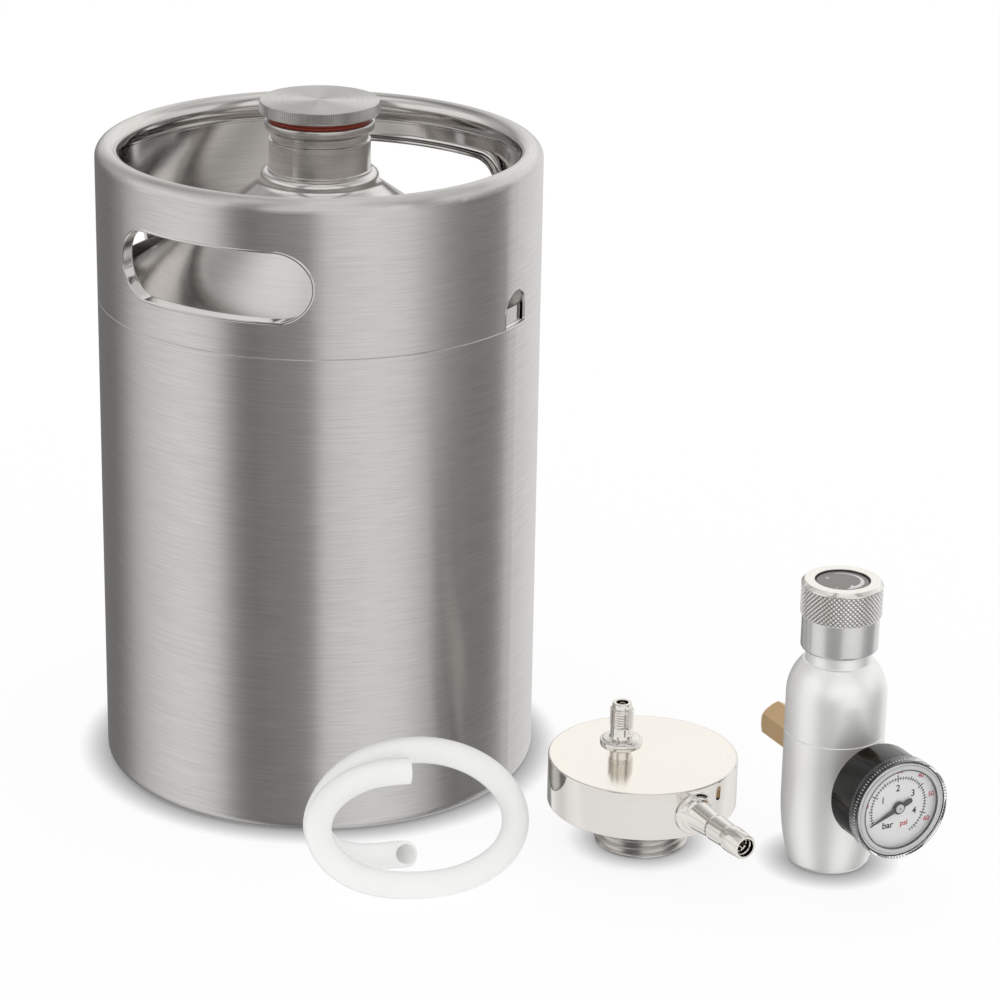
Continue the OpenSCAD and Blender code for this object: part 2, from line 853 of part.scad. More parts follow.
module valve_seat() {
    color([0.9, 0.9, 0.86])
        on_regulator()
            tube(insert_r - fit, port_r, seat_face, piston_floor);
}

module valve_poppet() {
    color(brass)
        on_regulator() {
            chamfered_bar(3.4, seat_face - 3, seat_face - 0.05, 0.3);
            bar(0.9, seat_face - 1, piston_floor + 0.6);
            bar(1.6, chamber_z + 4, seat_face - 2);
        }
}

module poppet_spring() {
    color(satin)
        on_regulator()
            coil_spring(2.6, 0.35, chamber_z + 0.05, seat_face - 3.05, 5);
}

module piston() {
    groove = [piston_top - 3.6, piston_top - 1.4];
    color(satin)
        on_regulator() {
            difference() {
                chamfered_bar(piston_r, piston_top - piston_h, piston_top, 0.3);
                tube(piston_r + 1, piston_r - 1.7, groove[0], groove[1]);
            }
            bar(5.5, piston_top - eps, piston_top + 1.8);
            bar(1.5, piston_floor + 0.65, piston_top - piston_h + eps);
        }
}

module piston_ring() {
    color([0.12, 0.12, 0.12])
        on_regulator()
            rotate_extrude()
                translate([piston_r - 0.8, piston_top - 2.5])
                    circle(d = 1.6, $fn = 32);
}

module adjusting_spring() {
    color(satin)
        on_regulator()
            coil_spring(spring_r, spring_wire_r, piston_top + 0.05, spring_top - 0.05, 8);
}

module spring_button() {
    color(brass)
        on_regulator() {
            chamfered_bar(spring_r + 1.4, spring_top, spring_top + button_t, 0.4);
            chamfered_bar(5.5, spring_top - 1.8, spring_top + 0.5, 0.4);
        }
}

module adjusting_screw() {
    color(steel)
        on_regulator()
            chamfered_bar(screw_r, spring_top + button_t, screw_top, 0.4);
}

module pressure_knob() {
    skirt_r = knob_skirt_d / 2;
    grip_r = knob_d / 2;
    color(satin)
        on_regulator()
            difference() {
                rotate_extrude()
                    polygon([[0, knob_z], [skirt_r - 1, knob_z], [skirt_r, knob_z + 1.2],
                        [skirt_r, knurl_z - 0.3], [skirt_r - 0.3, knurl_z], [grip_r - 0.4, knurl_z],
                        [grip_r, knurl_z + 0.5], [grip_r, knurl_z + knurl_h - 0.3],
                        [grip_r - 0.4, knurl_z + knurl_h], [grip_r - 1.1, knob_top], [0, knob_top]]);
                bar(knob_bore_r, knob_z - 1, knob_roof);
                bar(screw_r + 0.02, knob_roof - eps, screw_top);
                bar(label_d / 2 + 0.15, knob_top - label_depth, knob_top + 1);
            }
}

module knob_label() {
    color([0.3, 0.3, 0.3])
        on_regulator()
            bar(label_d / 2, knob_top - label_depth, knob_top - 0.25);
}

module outlet_stem() {
    color(brass)
        on_outlet()
            difference() {
                union() {
                    bar(stem_thread_r, port_wall, reg_r - 1 + eps);
                    bar(6, reg_r - 1, reg_r + 2);
                    bar(stem_r, reg_r + 2 - eps, stem_face);
                    bar(nut_r - 0.2, nut_pocket + 0.1, stem_face);
                }
                bar(port_r, 0, stem_face + 1);
            }
}

module outlet_washer() {
    color([0.85, 0.85, 0.82])
        on_outlet()
            tube(nut_r - 0.2, 2, stem_face, stem_face + washer_t);
}

module outlet_nut() {
    corner_r = nut_af / sqrt(3);
    color(brass)
        on_outlet()
            difference() {
                intersection() {
                    rotate([0, 0, 30])
                        translate([0, 0, nut_back])
                            cylinder(r = corner_r, h = nut_l, $fn = 6);
                    chamfered_bar(corner_r + 0.2, nut_back, nut_reach, 1.1);
                }
                bar(stem_r + fit, nut_back - 1, nut_pocket + eps);
                bar(nut_r + 0.25, nut_pocket, stem_face + washer_t + 0.2);
                bar(nut_r, stem_face + washer_t + 0.1, nut_reach + 1);
            }
}

module gauge_stem() {
    color(brass)
        on_gauge()
            difference() {
                union() {
                    bar(stem_thread_r, port_wall, reg_r - 1.4 + eps);
                    intersection() {
                        bar(7, reg_r - 1.4, reg_r + 6);
                        translate([0, 0, reg_r - 1.4])
                            cylinder(r = 7, h = 7.4, $fn = 6);
                    }
                    bar(stem_neck_r, reg_r + 6 - eps, frame_z);
                }
                bar(port_r / 2, 0, frame_z - 1);
            }
}

module gauge_case() {
    edge = 2;
    color([0.07, 0.07, 0.07])
        on_gauge()
            rotate_extrude()
                difference() {
                    union() {
                        translate([0, case_back + edge])
                            square([case_r, case_l - edge]);
                        translate([0, case_back])
                            square([case_r - edge, edge + eps]);
                        translate([case_r - edge, case_back + edge])
                            circle(edge);
                    }
                    translate([-1, case_back + case_t])
                        square([1 + case_r - case_t - 1.2, case_l]);
                    translate([-1, dial_z])
                        square([1 + case_r - case_t, case_l]);
                    translate([-1, case_back - 1])
                        square([1 + stem_neck_r + fit, 4]);
                }
}

// The clear cap that snaps over the case, with a ring that holds the dial down
module gauge_lens() {
    outer = lens_d / 2;
    low = lens_front - lens_l;
    view = dial_view_d / 2;
    color([0.85, 0.9, 0.92, 0.3])
        on_gauge()
            rotate_extrude()
                polygon([[0, lens_back], [view, lens_back], [view, dial_z + dial_t],
                    [view + 1.2, dial_z + dial_t], [view + 1.2, lens_back], [case_r + fit, lens_back],
                    [case_r + fit, low], [outer - 0.2, low], [outer, low + 0.3], [outer, lens_front - 0.9],
                    [outer - 0.3, lens_front - 0.3], [outer - 0.9, lens_front], [0, lens_front]]);
}

module gauge_dial() {
    color([0.95, 0.95, 0.95])
        on_gauge()
            tube(case_r - case_t - fit, 0.9, dial_z, dial_z + dial_t);
}

module gauge_needle() {
    tail = 0.45 * needle_l;
    color([0.35, 0.35, 0.35])
        on_gauge()
            rotate([0, 0, needle_zero])
                difference() {
                    union() {
                        translate([0, 0, needle_z])
                            linear_extrude(height = 0.4)
                                polygon([[0, -1], [needle_l, -0.15], [needle_l, 0.15], [0, 1],
                                    [0.7 - tail, 1], [-tail, 0.5], [-tail, -0.5], [0.7 - tail, -1]]);
                        chamfered_bar(2.6, needle_z - 0.3, needle_z + 0.5, 0.2);
                        bar(1.9, needle_z + 0.4, needle_z + 0.8);
                    }
                    bar(0.5 + eps, needle_z - 1, needle_z + 0.5);
                }
}

// A gear's outline: straight-sided teeth, from one tooth number to another
module toothed_outline(teeth, first, last, root_r) {
    radius = tooth_module * teeth / 2;
    tip = radius + 0.75 * tooth_module;
    base = radius - 1.05 * tooth_module;
    step = 360 / teeth;
    half_tip = step * 0.09;
    half_base = step * 0.27;
    flank = [[-half_base, base], [-half_tip, tip], [half_tip, tip], [half_base, base]];
    arc = [
        for (tooth = [first:last], corner = flank)
            corner[1] * [cos(tooth * step + corner[0]), sin(tooth * step + corner[0])]];
    polygon(root_r > 0 ? concat(arc, [root_r * [cos(last * step), sin(last * step)],
        root_r * [cos(first * step), sin(first * step)]]) : arc);
}

module gauge_pinion() {
    color(brass)
        on_gauge() {
            bar(0.5, frame_z + 0.2, needle_z + 0.5 - eps);
            translate([0, 0, gear_z])
                rotate([0, 0, -90])
                    linear_extrude(height = gear_t)
                        toothed_outline(pinion_teeth, 0, pinion_teeth - 1, 0);
        }
}

// The sector's first tooth gap lies on the pinion at zero pressure
module sector_gear() {
    color(brass)
        on_gauge()
            translate([0, -sector_drop, 0]) {
                bar(0.6, frame_z + 0.2, front_plate_z + 0.8);
                translate([0, 0, gear_z])
                    linear_extrude(height = gear_t) {
                        rotate(90 + sector_step / 2)
                            toothed_outline(sector_teeth, -9, 1, 1.5);
                        circle(2.2);
                        rotate(tail_dir) {
                            translate([0, -0.8])
                                square([tail_l, 1.6]);
                            translate([tail_l, 0])
                                circle(1.2);
                        }
                    }
            }
}

// The link pulls the sector's tail when the tube straightens
module movement_link() {
    run = tube_tip - tail_tip;
    color(brass)
        on_gauge()
            translate([tail_tip[0], tail_tip[1], link_z])
                rotate([0, 0, atan2(run[1], run[0])])
                    linear_extrude(height = 0.5) {
                        circle(1);
                        translate([norm(run), 0])
                            circle(1);
                        translate([0, -0.5])
                            square([norm(run), 1]);
                    }
}

module movement_frame() {
    color(brass)
        on_gauge()
            difference() {
                union() {
                    for (plate = [frame_z, front_plate_z])
                        translate([0, 0, plate])
                            linear_extrude(height = plate_t)
                                difference() {
                                    union() {
                                        circle(4.8);
                                        translate([-3, -sector_drop - 2])
                                            square([6, sector_drop + 2]);
                                    }
                                    circle(0.5 + fit);
                                    translate([0, -sector_drop])
                                        circle(0.6 + fit);
                                }
                    for (side = [-1, 1])
                        translate([side * 3.6, 2, frame_z])
                            cylinder(r = 0.7, h = front_plate_z - frame_z + eps);
                }
            }
}

// The flattened tube that straightens as the pressure in it rises
module bourdon_tube() {
    color(brass)
        on_gauge() {
            rotate([0, 0, tube_tip_dir])
                rotate_extrude(angle = tube_turn)
                    translate([tube_r - 0.7, tube_z])
                        square([1.4, tube_h]);
            rotate([0, 0, tube_tip_dir + tube_turn])
                translate([stem_neck_r + fit, -1.5, tube_z])
                    cube([tube_r - stem_neck_r, 3, 3]);
            translate([tube_tip[0], tube_tip[1], tube_z])
                cylinder(r = 1.2, h = link_z - tube_z - 0.1);
        }
}

// Points along the route, joined by a smooth curve through every hand-placed point
function curve(p, q, r, s, t) = 0.5 * (2 * q + (r - p) * t + (2 * p - 5 * q + 4 * r - s) * t * t
    + (3 * q - p - 3 * r + s) * t * t * t);
route_last = len(hose_route) - 1;
function route_at(i) = hose_route[min(max(i, 0), route_last)];
route_points = concat([
    for (i = [0:route_last - 1], t = [0, 0.5])
        curve(route_at(i - 1), route_at(i), route_at(i + 1), route_at(i + 2), t)],
    [route_at(route_last)]);
slope_side = [cos(hose_across), sin(hose_across), 0];
slope_up = [-sin(hose_across) * cos(hose_lean), cos(hose_across) * cos(hose_lean), sin(hose_lean)];
slope_off = cross(slope_side, slope_up);
hose_foot = [hose_start[0], hose_start[1], hose_d / 2];
hose_path = [
    for (p = route_points)
        hose_foot + p[0] * slope_side + p[1] * slope_up + p[2] * slope_off];
hose_rings = len(hose_path);
hose_least = min([
    for (i = [0:hose_rings - 1], j = [i + 12:1:hose_rings - 1])
        norm(hose_path[i] - hose_path[j])]) - hose_d;
hose_length = [
    for (i = 0, sum = 0; i < hose_rings; i = i + 1,
        sum = sum + (i < hose_rings ? norm(hose_path[i] - hose_path[i - 1]) : 0)) sum][hose_rings - 1];

// One ring of points round the route, at a given radius
function route_ring(i, radius) =
    let (along = hose_path[min(i + 1, hose_rings - 1)] - hose_path[max(i - 1, 0)],
        side = cross(along, slope_off) / norm(cross(along, slope_off)),
        over = cross(side, along) / norm(along))
        [for (s = [0:hose_sides - 1])
            hose_path[i] + radius * (cos(360 * s / hose_sides) * side + sin(360 * s / hose_sides) * over)];

module beer_hose() {
    outer = [for (i = [0:hose_rings - 1]) each route_ring(i, hose_d / 2)];
    inner = [for (i = [0:hose_rings - 1]) each route_ring(i, hose_bore_d / 2)];
    count = len(outer);
    last = count - hose_sides;
    outside = skin(hose_rings, hose_sides);
    inside = [for (face = outside) [face[0] + count, face[2] + count, face[1] + count]];
    mouths = [
        for (s = [0:hose_sides - 1])
            let (n = (s + 1) % hose_sides, a = last + s, b = last + n)
                each [[s, s + count, n + count], [s, n + count, n], [a, b + count, a + count],
                    [a, b, b + count]]];
    color([0.91, 0.92, 0.91])
        polyhedron(concat(outer, inner), concat(outside, inside, mouths));
}

echo(hose_length_mm = hose_length, hose_least_gap_mm = hose_least);

vessel_shell();
bottom_dish();
shoulder_cone();
neck();
collar();
screw_cap();
cap_seal();
head_body();
head_seal();
gas_post();
check_valve_ball();
check_valve_spring();
hose_barb();
regulator_body();
regulator_bonnet();
bonnet_gasket();
inlet_seal();
inlet_bush();
pierce_pin();
valve_seat();
valve_poppet();
poppet_spring();
piston();
piston_ring();
adjusting_spring();
spring_button();
adjusting_screw();
pressure_knob();
knob_label();
outlet_stem();
outlet_washer();
outlet_nut();
gauge_stem();
gauge_case();
gauge_lens();
gauge_dial();
gauge_needle();
gauge_pinion();
sector_gear();
movement_link();
movement_frame();
bourdon_tube();
beer_hose();
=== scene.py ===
"""Mini keg beer dispenser: the detailed pieces, finishes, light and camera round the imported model."""

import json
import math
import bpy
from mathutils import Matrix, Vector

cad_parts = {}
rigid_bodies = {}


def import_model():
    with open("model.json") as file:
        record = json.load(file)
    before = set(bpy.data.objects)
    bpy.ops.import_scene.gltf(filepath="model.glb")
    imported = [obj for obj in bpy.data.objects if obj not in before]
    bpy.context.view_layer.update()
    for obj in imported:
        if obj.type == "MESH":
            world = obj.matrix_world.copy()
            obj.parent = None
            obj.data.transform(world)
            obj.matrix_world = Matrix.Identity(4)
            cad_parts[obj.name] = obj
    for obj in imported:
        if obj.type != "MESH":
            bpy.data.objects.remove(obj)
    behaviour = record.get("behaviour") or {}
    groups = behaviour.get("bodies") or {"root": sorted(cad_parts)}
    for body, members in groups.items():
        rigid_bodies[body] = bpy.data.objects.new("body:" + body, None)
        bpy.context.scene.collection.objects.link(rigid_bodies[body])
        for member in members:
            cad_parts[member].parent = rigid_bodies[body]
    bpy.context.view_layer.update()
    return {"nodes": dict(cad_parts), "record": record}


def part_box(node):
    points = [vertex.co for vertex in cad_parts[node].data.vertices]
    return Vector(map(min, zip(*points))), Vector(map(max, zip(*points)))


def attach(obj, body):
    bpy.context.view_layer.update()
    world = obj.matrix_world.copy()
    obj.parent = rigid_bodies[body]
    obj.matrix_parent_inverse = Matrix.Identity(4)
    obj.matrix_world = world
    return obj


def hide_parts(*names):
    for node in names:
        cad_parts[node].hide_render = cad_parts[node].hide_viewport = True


bl_info = {
    "name": "Mini Keg Beer Dispenser",
    "version": (1, 0, 0),
    "blender": (4, 5, 0),
    "location": "3D View > Sidebar > Mini Keg",
    "description": "Models the keg's neck, cap, collar, dispensing head, regulator, gauge and hose",
    "category": "Object",
}

import bpy
from bpy.props import FloatProperty, IntProperty, PointerProperty, StringProperty
from mathutils import Matrix, Vector

for default_object in list(bpy.data.objects):
    bpy.data.objects.remove(default_object)
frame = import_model()

MM = 0.001
KEG_AXIS = Vector((0, 0, 0))
# Corners closer than the first are one corner, and a corner nearer to a line than the second is on it
MERGE = 0.002 * MM
ON_LINE = 0.001 * MM


def axis_of(node):
    """The upright axis of a round CAD node, as a point on the floor."""
    low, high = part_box(node)
    return Vector(((low.x + high.x) / 2, (low.y + high.y) / 2, 0))


HEAD_AXIS = axis_of("head_body")
REGULATOR_AXIS = axis_of("regulator_body")
POST_AXIS = axis_of("gas_post")
# Which way the barb and the gauge point, and how high their middles are
BARB_TURN = math.radians(-32)
GAUGE_TURN = math.radians(-36)
BARB_HEIGHT = 27.15 * MM
PORT_HEIGHT = 42.5 * MM

# A piece along the barb, the gauge or the outlet is modelled upright and laid down with one of these
LAID_OVER = Matrix.Rotation(math.radians(90), 4, "Z") @ Matrix.Rotation(math.radians(90), 4, "X")
ON_BARB = (Matrix.Translation(HEAD_AXIS + Vector((0, 0, BARB_HEIGHT)))
           @ Matrix.Rotation(BARB_TURN, 4, "Z") @ LAID_OVER)
ON_GAUGE = (Matrix.Translation(REGULATOR_AXIS + Vector((0, 0, PORT_HEIGHT)))
            @ Matrix.Rotation(GAUGE_TURN, 4, "Z") @ LAID_OVER)
ON_KEG = Matrix.Identity(4)
ON_HEAD = Matrix.Translation(HEAD_AXIS)
ON_POST = Matrix.Translation(POST_AXIS)
ON_REGULATOR = Matrix.Translation(REGULATOR_AXIS)


# Modelling

FILLET_STEPS = 5


def deselect():
    """Goes back to object mode with nothing selected."""
    if bpy.context.mode != "OBJECT":
        bpy.ops.object.mode_set(mode="OBJECT")
    bpy.ops.object.select_all(action="DESELECT")


def only(piece):
    """Selects one piece and makes it the active one."""
    deselect()
    piece.select_set(True)
    bpy.context.view_layer.objects.active = piece


def use(piece, kind, **settings):
    """Adds a modifier and applies it at once."""
    only(piece)
    modifier = piece.modifiers.new(kind.lower(), kind)
    for name, value in settings.items():
        setattr(modifier, name, value)
    bpy.ops.object.modifier_apply(modifier=modifier.name)


def smooth(piece, degrees=30):
    """Shades a piece round, and keeps the edges sharp that bend more than the angle."""
    only(piece)
    bpy.ops.object.shade_smooth_by_angle(angle=math.radians(degrees))


def rounded(corners):
    """A half-section from corners of radius, height and fillet, in millimetres."""
    points = []
    count = len(corners)
    for i, corner in enumerate(corners):
        here = Vector(corner[:2])
        fillet = corner[2] if len(corner) > 2 else 0
        if not fillet:
            points.append(here)
            continue
        to_last = (Vector(corners[i - 1][:2]) - here).normalized()
        to_next = (Vector(corners[(i + 1) % count][:2]) - here).normalized()
        half = to_last.angle(to_next) / 2
        reach = fillet / math.tan(half)
        start, end = here + to_last * reach, here + to_next * reach
        centre = here + (to_last + to_next).normalized() * (fillet / math.sin(half))
        turn = (end - centre).angle_signed(start - centre)
        for step in range(FILLET_STEPS + 1):
            spoke = (start - centre).copy()
            spoke.rotate(Matrix.Rotation(turn * step / FILLET_STEPS, 2))
            points.append(centre + spoke)
    return [(point.x * MM, point.y * MM) for point in points]


def arc(across, height, radius, turns):
    """Points of a half-section on a circle, at turns in degrees from level, in mm."""
    angles = [math.radians(turn) for turn in turns]
    return [(across + radius * math.cos(angle), height + radius * math.sin(angle)) for angle in angles]


def turned(name, corners, place=ON_KEG, steps=128, closed=False):
    """A piece turned on the lathe: its half-section is drawn point by point and spun round."""
    section = rounded(corners)
    deselect()
    bpy.ops.mesh.primitive_plane_add(size=MM)
    piece = bpy.context.object
    piece.name = piece.data.name = name
    bpy.ops.object.mode_set(mode="EDIT")
    bpy.ops.mesh.select_all(action="SELECT")
    bpy.ops.mesh.merge(type="CENTER")
    bpy.ops.transform.translate(value=(section[0][0], 0, section[0][1]))
    chain = section + section[:1] if closed else section
    for (r0, z0), (r1, z1) in zip(chain, chain[1:]):
        bpy.ops.mesh.extrude_vertices_move(TRANSFORM_OT_translate={"value": (r1 - r0, 0, z1 - z0)})
    bpy.ops.mesh.select_all(action="SELECT")
    bpy.ops.mesh.spin(steps=steps, angle=2 * math.pi, center=(0, 0, 0), axis=(0, 0, 1))
    bpy.ops.mesh.select_all(action="SELECT")
    bpy.ops.mesh.remove_doubles(threshold=MERGE)
    bpy.ops.mesh.normals_make_consistent(inside=False)
    bpy.ops.object.mode_set(mode="OBJECT")
    piece.data.transform(place)
    smooth(piece)
    return piece


def threaded(name, crest, root, pitch, low, high, lead_low=0, lead_high=0, place=ON_KEG, steps=72):
    """A real screw thread: one tooth is swept along the helix, and its ends are cut flat and capped."""
    flat = 0.12 * pitch  # Width of the tooth's flat top, and of the bare root beside it
    tooth = [(root, 0), (root, flat), (crest, pitch / 2 - flat / 2), (crest, pitch / 2 + flat / 2),
             (root, pitch - flat), (root, pitch)]
    deselect()
    bpy.ops.mesh.primitive_plane_add(size=MM)
    piece = bpy.context.object
    piece.name = piece.data.name = name
    bpy.ops.object.mode_set(mode="EDIT")
    bpy.ops.mesh.select_all(action="SELECT")
    bpy.ops.mesh.merge(type="CENTER")
    bpy.ops.transform.translate(value=(tooth[0][0] * MM, 0, (low - pitch) * MM))
    for (r0, z0), (r1, z1) in zip(tooth, tooth[1:]):
        bpy.ops.mesh.extrude_vertices_move(
            TRANSFORM_OT_translate={"value": ((r1 - r0) * MM, 0, (z1 - z0) * MM)})
    bpy.ops.object.mode_set(mode="OBJECT")
    use(piece, "SCREW", screw_offset=pitch * MM, iterations=math.ceil((high - low) / pitch) + 2,
        steps=steps, render_steps=steps, use_merge_vertices=False)
    bpy.ops.object.mode_set(mode="EDIT")
    bpy.ops.mesh.select_all(action="SELECT")
    bpy.ops.mesh.remove_doubles(threshold=MERGE)
    for height, side in ((low, -1), (high, 1)):
        bpy.ops.mesh.select_all(action="SELECT")
        bpy.ops.mesh.bisect(plane_co=(0, 0, height * MM), plane_no=(0, 0, side), clear_outer=True,
                            use_fill=True)
    bpy.ops.mesh.select_all(action="SELECT")
    bpy.ops.mesh.normals_make_consistent(inside=False)
    bpy.ops.object.mode_set(mode="OBJECT")
    for vertex in piece.data.vertices:
        z = vertex.co.z / MM
        limit = crest - max(0, low + lead_low - z, z - high + lead_high)
        radius = vertex.co.xy.length / MM
        if radius > limit:
            vertex.co.x *= limit / radius
            vertex.co.y *= limit / radius
    piece.data.transform(place)
    smooth(piece, 40)
    return piece


def cut(piece, radius, low, high, place):
    """Drills a round hole between two heights along an axis."""
    deselect()
    bpy.ops.mesh.primitive_cylinder_add(vertices=64, radius=radius * MM, depth=(high - low) * MM,
                                        location=(0, 0, (low + high) / 2 * MM))
    drill = bpy.context.object
    bpy.ops.object.transform_apply(location=True, rotation=True, scale=True)
    drill.data.transform(place)
    use(piece, "BOOLEAN", operation="DIFFERENCE", solver="EXACT", object=drill)
    bpy.data.objects.remove(drill)
    smooth(piece)


def cut_opening(piece, radius, half, drop, low, high, place):
    """Cuts an opening through a wall: a round hole pulled out sideways by half and down by drop, in mm."""
    deselect()
    bpy.ops.mesh.primitive_cylinder_add(vertices=96, radius=radius * MM, depth=(high - low) * MM,
                                        location=(0, 0, (low + high) / 2 * MM))
    punch = bpy.context.object
    bpy.ops.object.transform_apply(location=True, rotation=True, scale=True)
    for vertex in punch.data.vertices:
        if abs(vertex.co.x) > ON_LINE:
            vertex.co.x += math.copysign(half * MM, vertex.co.x)
        if vertex.co.y < ON_LINE:
            vertex.co.y -= drop * MM
    punch.data.transform(place @ Matrix.Rotation(math.radians(90), 4, "X"))
    use(piece, "BOOLEAN", operation="DIFFERENCE", solver="EXACT", object=punch)
    bpy.data.objects.remove(punch)
    smooth(piece)


def ring_of(piece, count, centre=ON_KEG, rows=1, step=(0, 0, 0)):
    """Copies one small piece round an axis, and again in rows, each row turned by half a place."""
    deselect()
    bpy.ops.object.empty_add()
    pivot = bpy.context.object
    pivot.matrix_world = Matrix.Rotation(2 * math.pi / count, 4, "Z")
    offset = {"use_relative_offset": False, "use_object_offset": True, "offset_object": pivot}
    use(piece, "ARRAY", count=count, **offset)
    if rows > 1:
        pivot.matrix_world = Matrix.Translation(Vector(step) * MM) @ Matrix.Rotation(math.pi / count, 4, "Z")
        use(piece, "ARRAY", count=rows, **offset)
    bpy.data.objects.remove(pivot)
    piece.data.transform(centre)


def opening_edge(name, radius, half, drop, profile, place):
    """The polished bent edge of an opening in the collar, laid on the round wall.

    A ring is pulled out to the opening's outline. The profile gives how far outside the outline and how
    far out of the wall each of its points stands, in mm.
    """
    edge = turned(name, [(radius + grow, height) for grow, height in profile], ON_KEG, 96, closed=True)
    only(edge)
    if half:
        for side in (-1, 1):
            for vertex in edge.data.vertices:
                vertex.select = side * vertex.co.x > ON_LINE
            for part in (*edge.data.edges, *edge.data.polygons):
                part.select = all(edge.data.vertices[i].select for i in part.vertices)
            bpy.ops.object.mode_set(mode="EDIT")
            bpy.ops.transform.translate(value=(side * half * MM, 0, 0))
            bpy.ops.object.mode_set(mode="OBJECT")
        cuts = [column * half / 8 * MM for column in range(-8, 9)]
    else:
        bpy.ops.object.mode_set(mode="EDIT")
        bpy.ops.mesh.select_all(action="SELECT")
        bpy.ops.mesh.bisect(plane_co=(0, 0, 0), plane_no=(0, -1, 0), clear_outer=True)
        bpy.ops.object.mode_set(mode="OBJECT")
        for vertex in edge.data.vertices:
            vertex.select = vertex.co.y < ON_LINE
        for part in (*edge.data.edges, *edge.data.polygons):
            part.select = all(edge.data.vertices[i].select for i in part.vertices)
        bpy.ops.object.mode_set(mode="EDIT")
        bpy.ops.mesh.extrude_edges_move(TRANSFORM_OT_translate={"value": (0, -drop * MM, 0)})
        bpy.ops.mesh.select_all(action="DESELECT")
        bpy.ops.mesh.select_non_manifold()
        bpy.ops.mesh.fill_holes(sides=0)
        bpy.ops.object.mode_set(mode="OBJECT")
        cuts = []
    bpy.ops.object.mode_set(mode="EDIT")
    for across in cuts:
        bpy.ops.mesh.select_all(action="SELECT")
        bpy.ops.mesh.bisect(plane_co=(across, 0, 0), plane_no=(1, 0, 0))
    bpy.ops.mesh.select_all(action="SELECT")
    bpy.ops.mesh.normals_make_consistent(inside=False)
    bpy.ops.object.mode_set(mode="OBJECT")
    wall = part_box("collar")[1].x
    for vertex in edge.data.vertices:
        across, up, out = vertex.co
        vertex.co = (across, -math.sqrt((wall + out) ** 2 - across ** 2), up)
    edge.data.transform(place)
    smooth(edge, 35)
    return edge


def fit_piece(piece, body, slot, material, *nodes):
    """Gives a piece its finish, hangs it on its body, and lets it stand for its CAD nodes."""
    piece.data.materials.clear()
    piece.data.materials.append(material)
    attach(piece, body)
    if nodes:
        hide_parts(*nodes)
    return piece


# Finishes


def colour(code):
    """An sRGB hex colour as linear RGBA."""
    parts = [int(code[i:i + 2], 16) / 255 for i in (1, 3, 5)]
    return [c / 12.92 if c <= 0.04045 else ((c + 0.055) / 1.055) ** 2.4 for c in parts] + [1]


def add(tree, kind, inputs=None, **settings):
    """Adds a node, gives it its settings, and sets or links its inputs."""
    node = tree.nodes.new(kind)
    for name, value in settings.items():
        setattr(node, name, value)
    for name, value in (inputs or {}).items():
        socket = node.inputs[name]
        if isinstance(value, bpy.types.NodeSocket):
            tree.links.new(value, socket)
        else:
            socket.default_value = value
    return node


def new_material(name):
    material = bpy.data.materials.new(name)
    material.use_nodes = True
    material.node_tree.nodes.clear()
    return material, material.node_tree


def close(tree, shader):
    add(tree, "ShaderNodeOutputMaterial", {"Surface": shader.outputs[0]})


def position(tree, axis=None):
    """Object coordinates in metres, measured from a piece's own upright axis."""
    where = add(tree, "ShaderNodeTexCoord").outputs["Object"]
    if axis is None:
        return where
    return add(tree, "ShaderNodeVectorMath", {0: where, 1: axis}, operation="SUBTRACT").outputs[0]


def two_tones(tree, factor, dark, light):
    ramp = add(tree, "ShaderNodeValToRGB", {"Fac": factor})
    ramp.color_ramp.elements[0].color = colour(dark)
    ramp.color_ramp.elements[1].color = colour(light)
    return ramp.outputs["Color"]


def sharper(tree, factor):
    return add(tree, "ShaderNodeMapRange", {"Value": factor, "From Min": 0.3, "From Max": 0.7}).outputs[0]


def span(tree, factor, low, high):
    return add(tree, "ShaderNodeMapRange", {"Value": factor, "To Min": low, "To Max": high}).outputs[0]


def off_axis(tree, where):
    """The coordinates one by one, and the distance from the upright axis."""
    parts = add(tree, "ShaderNodeSeparateXYZ", {0: where})
    flat = add(tree, "ShaderNodeCombineXYZ", {0: parts.outputs[0], 1: parts.outputs[1], 2: 0.0})
    return parts, add(tree, "ShaderNodeVectorMath", {0: flat.outputs[0]}, operation="LENGTH").outputs["Value"]


def turning_lines(tree, where, line, length):
    """Noise drawn out round the axis, as the lines of a brush or a lathe tool. Sizes in mm."""
    parts, radius = off_axis(tree, where)
    across = add(tree, "ShaderNodeMath", {0: parts.outputs[2], 1: radius}, operation="ADD")
    spot = add(tree, "ShaderNodeCombineXYZ")
    sources = ((parts.outputs[0], length), (parts.outputs[1], length), (across.outputs[0], line))
    for index, (source, size) in enumerate(sources):
        scaled = add(tree, "ShaderNodeMath", {0: source, 1: 1 / (size * MM)}, operation="MULTIPLY")
        tree.links.new(scaled.outputs[0], spot.inputs[index])
    return add(tree, "ShaderNodeTexNoise", {"Vector": spot.outputs[0], "Scale": 1.0, "Detail": 3.0,
                                            "Roughness": 0.6}).outputs["Fac"]


def turning_tangent(tree, where):
    """The direction round the axis, so that a turned surface spreads its light across its lines."""
    round_it = add(tree, "ShaderNodeVectorMath", {0: (0, 0, 1), 1: where}, operation="CROSS_PRODUCT")
    world = add(tree, "ShaderNodeVectorTransform", {0: round_it.outputs[0]}, vector_type="NORMAL",
                convert_from="OBJECT", convert_to="WORLD")
    return world.outputs[0]


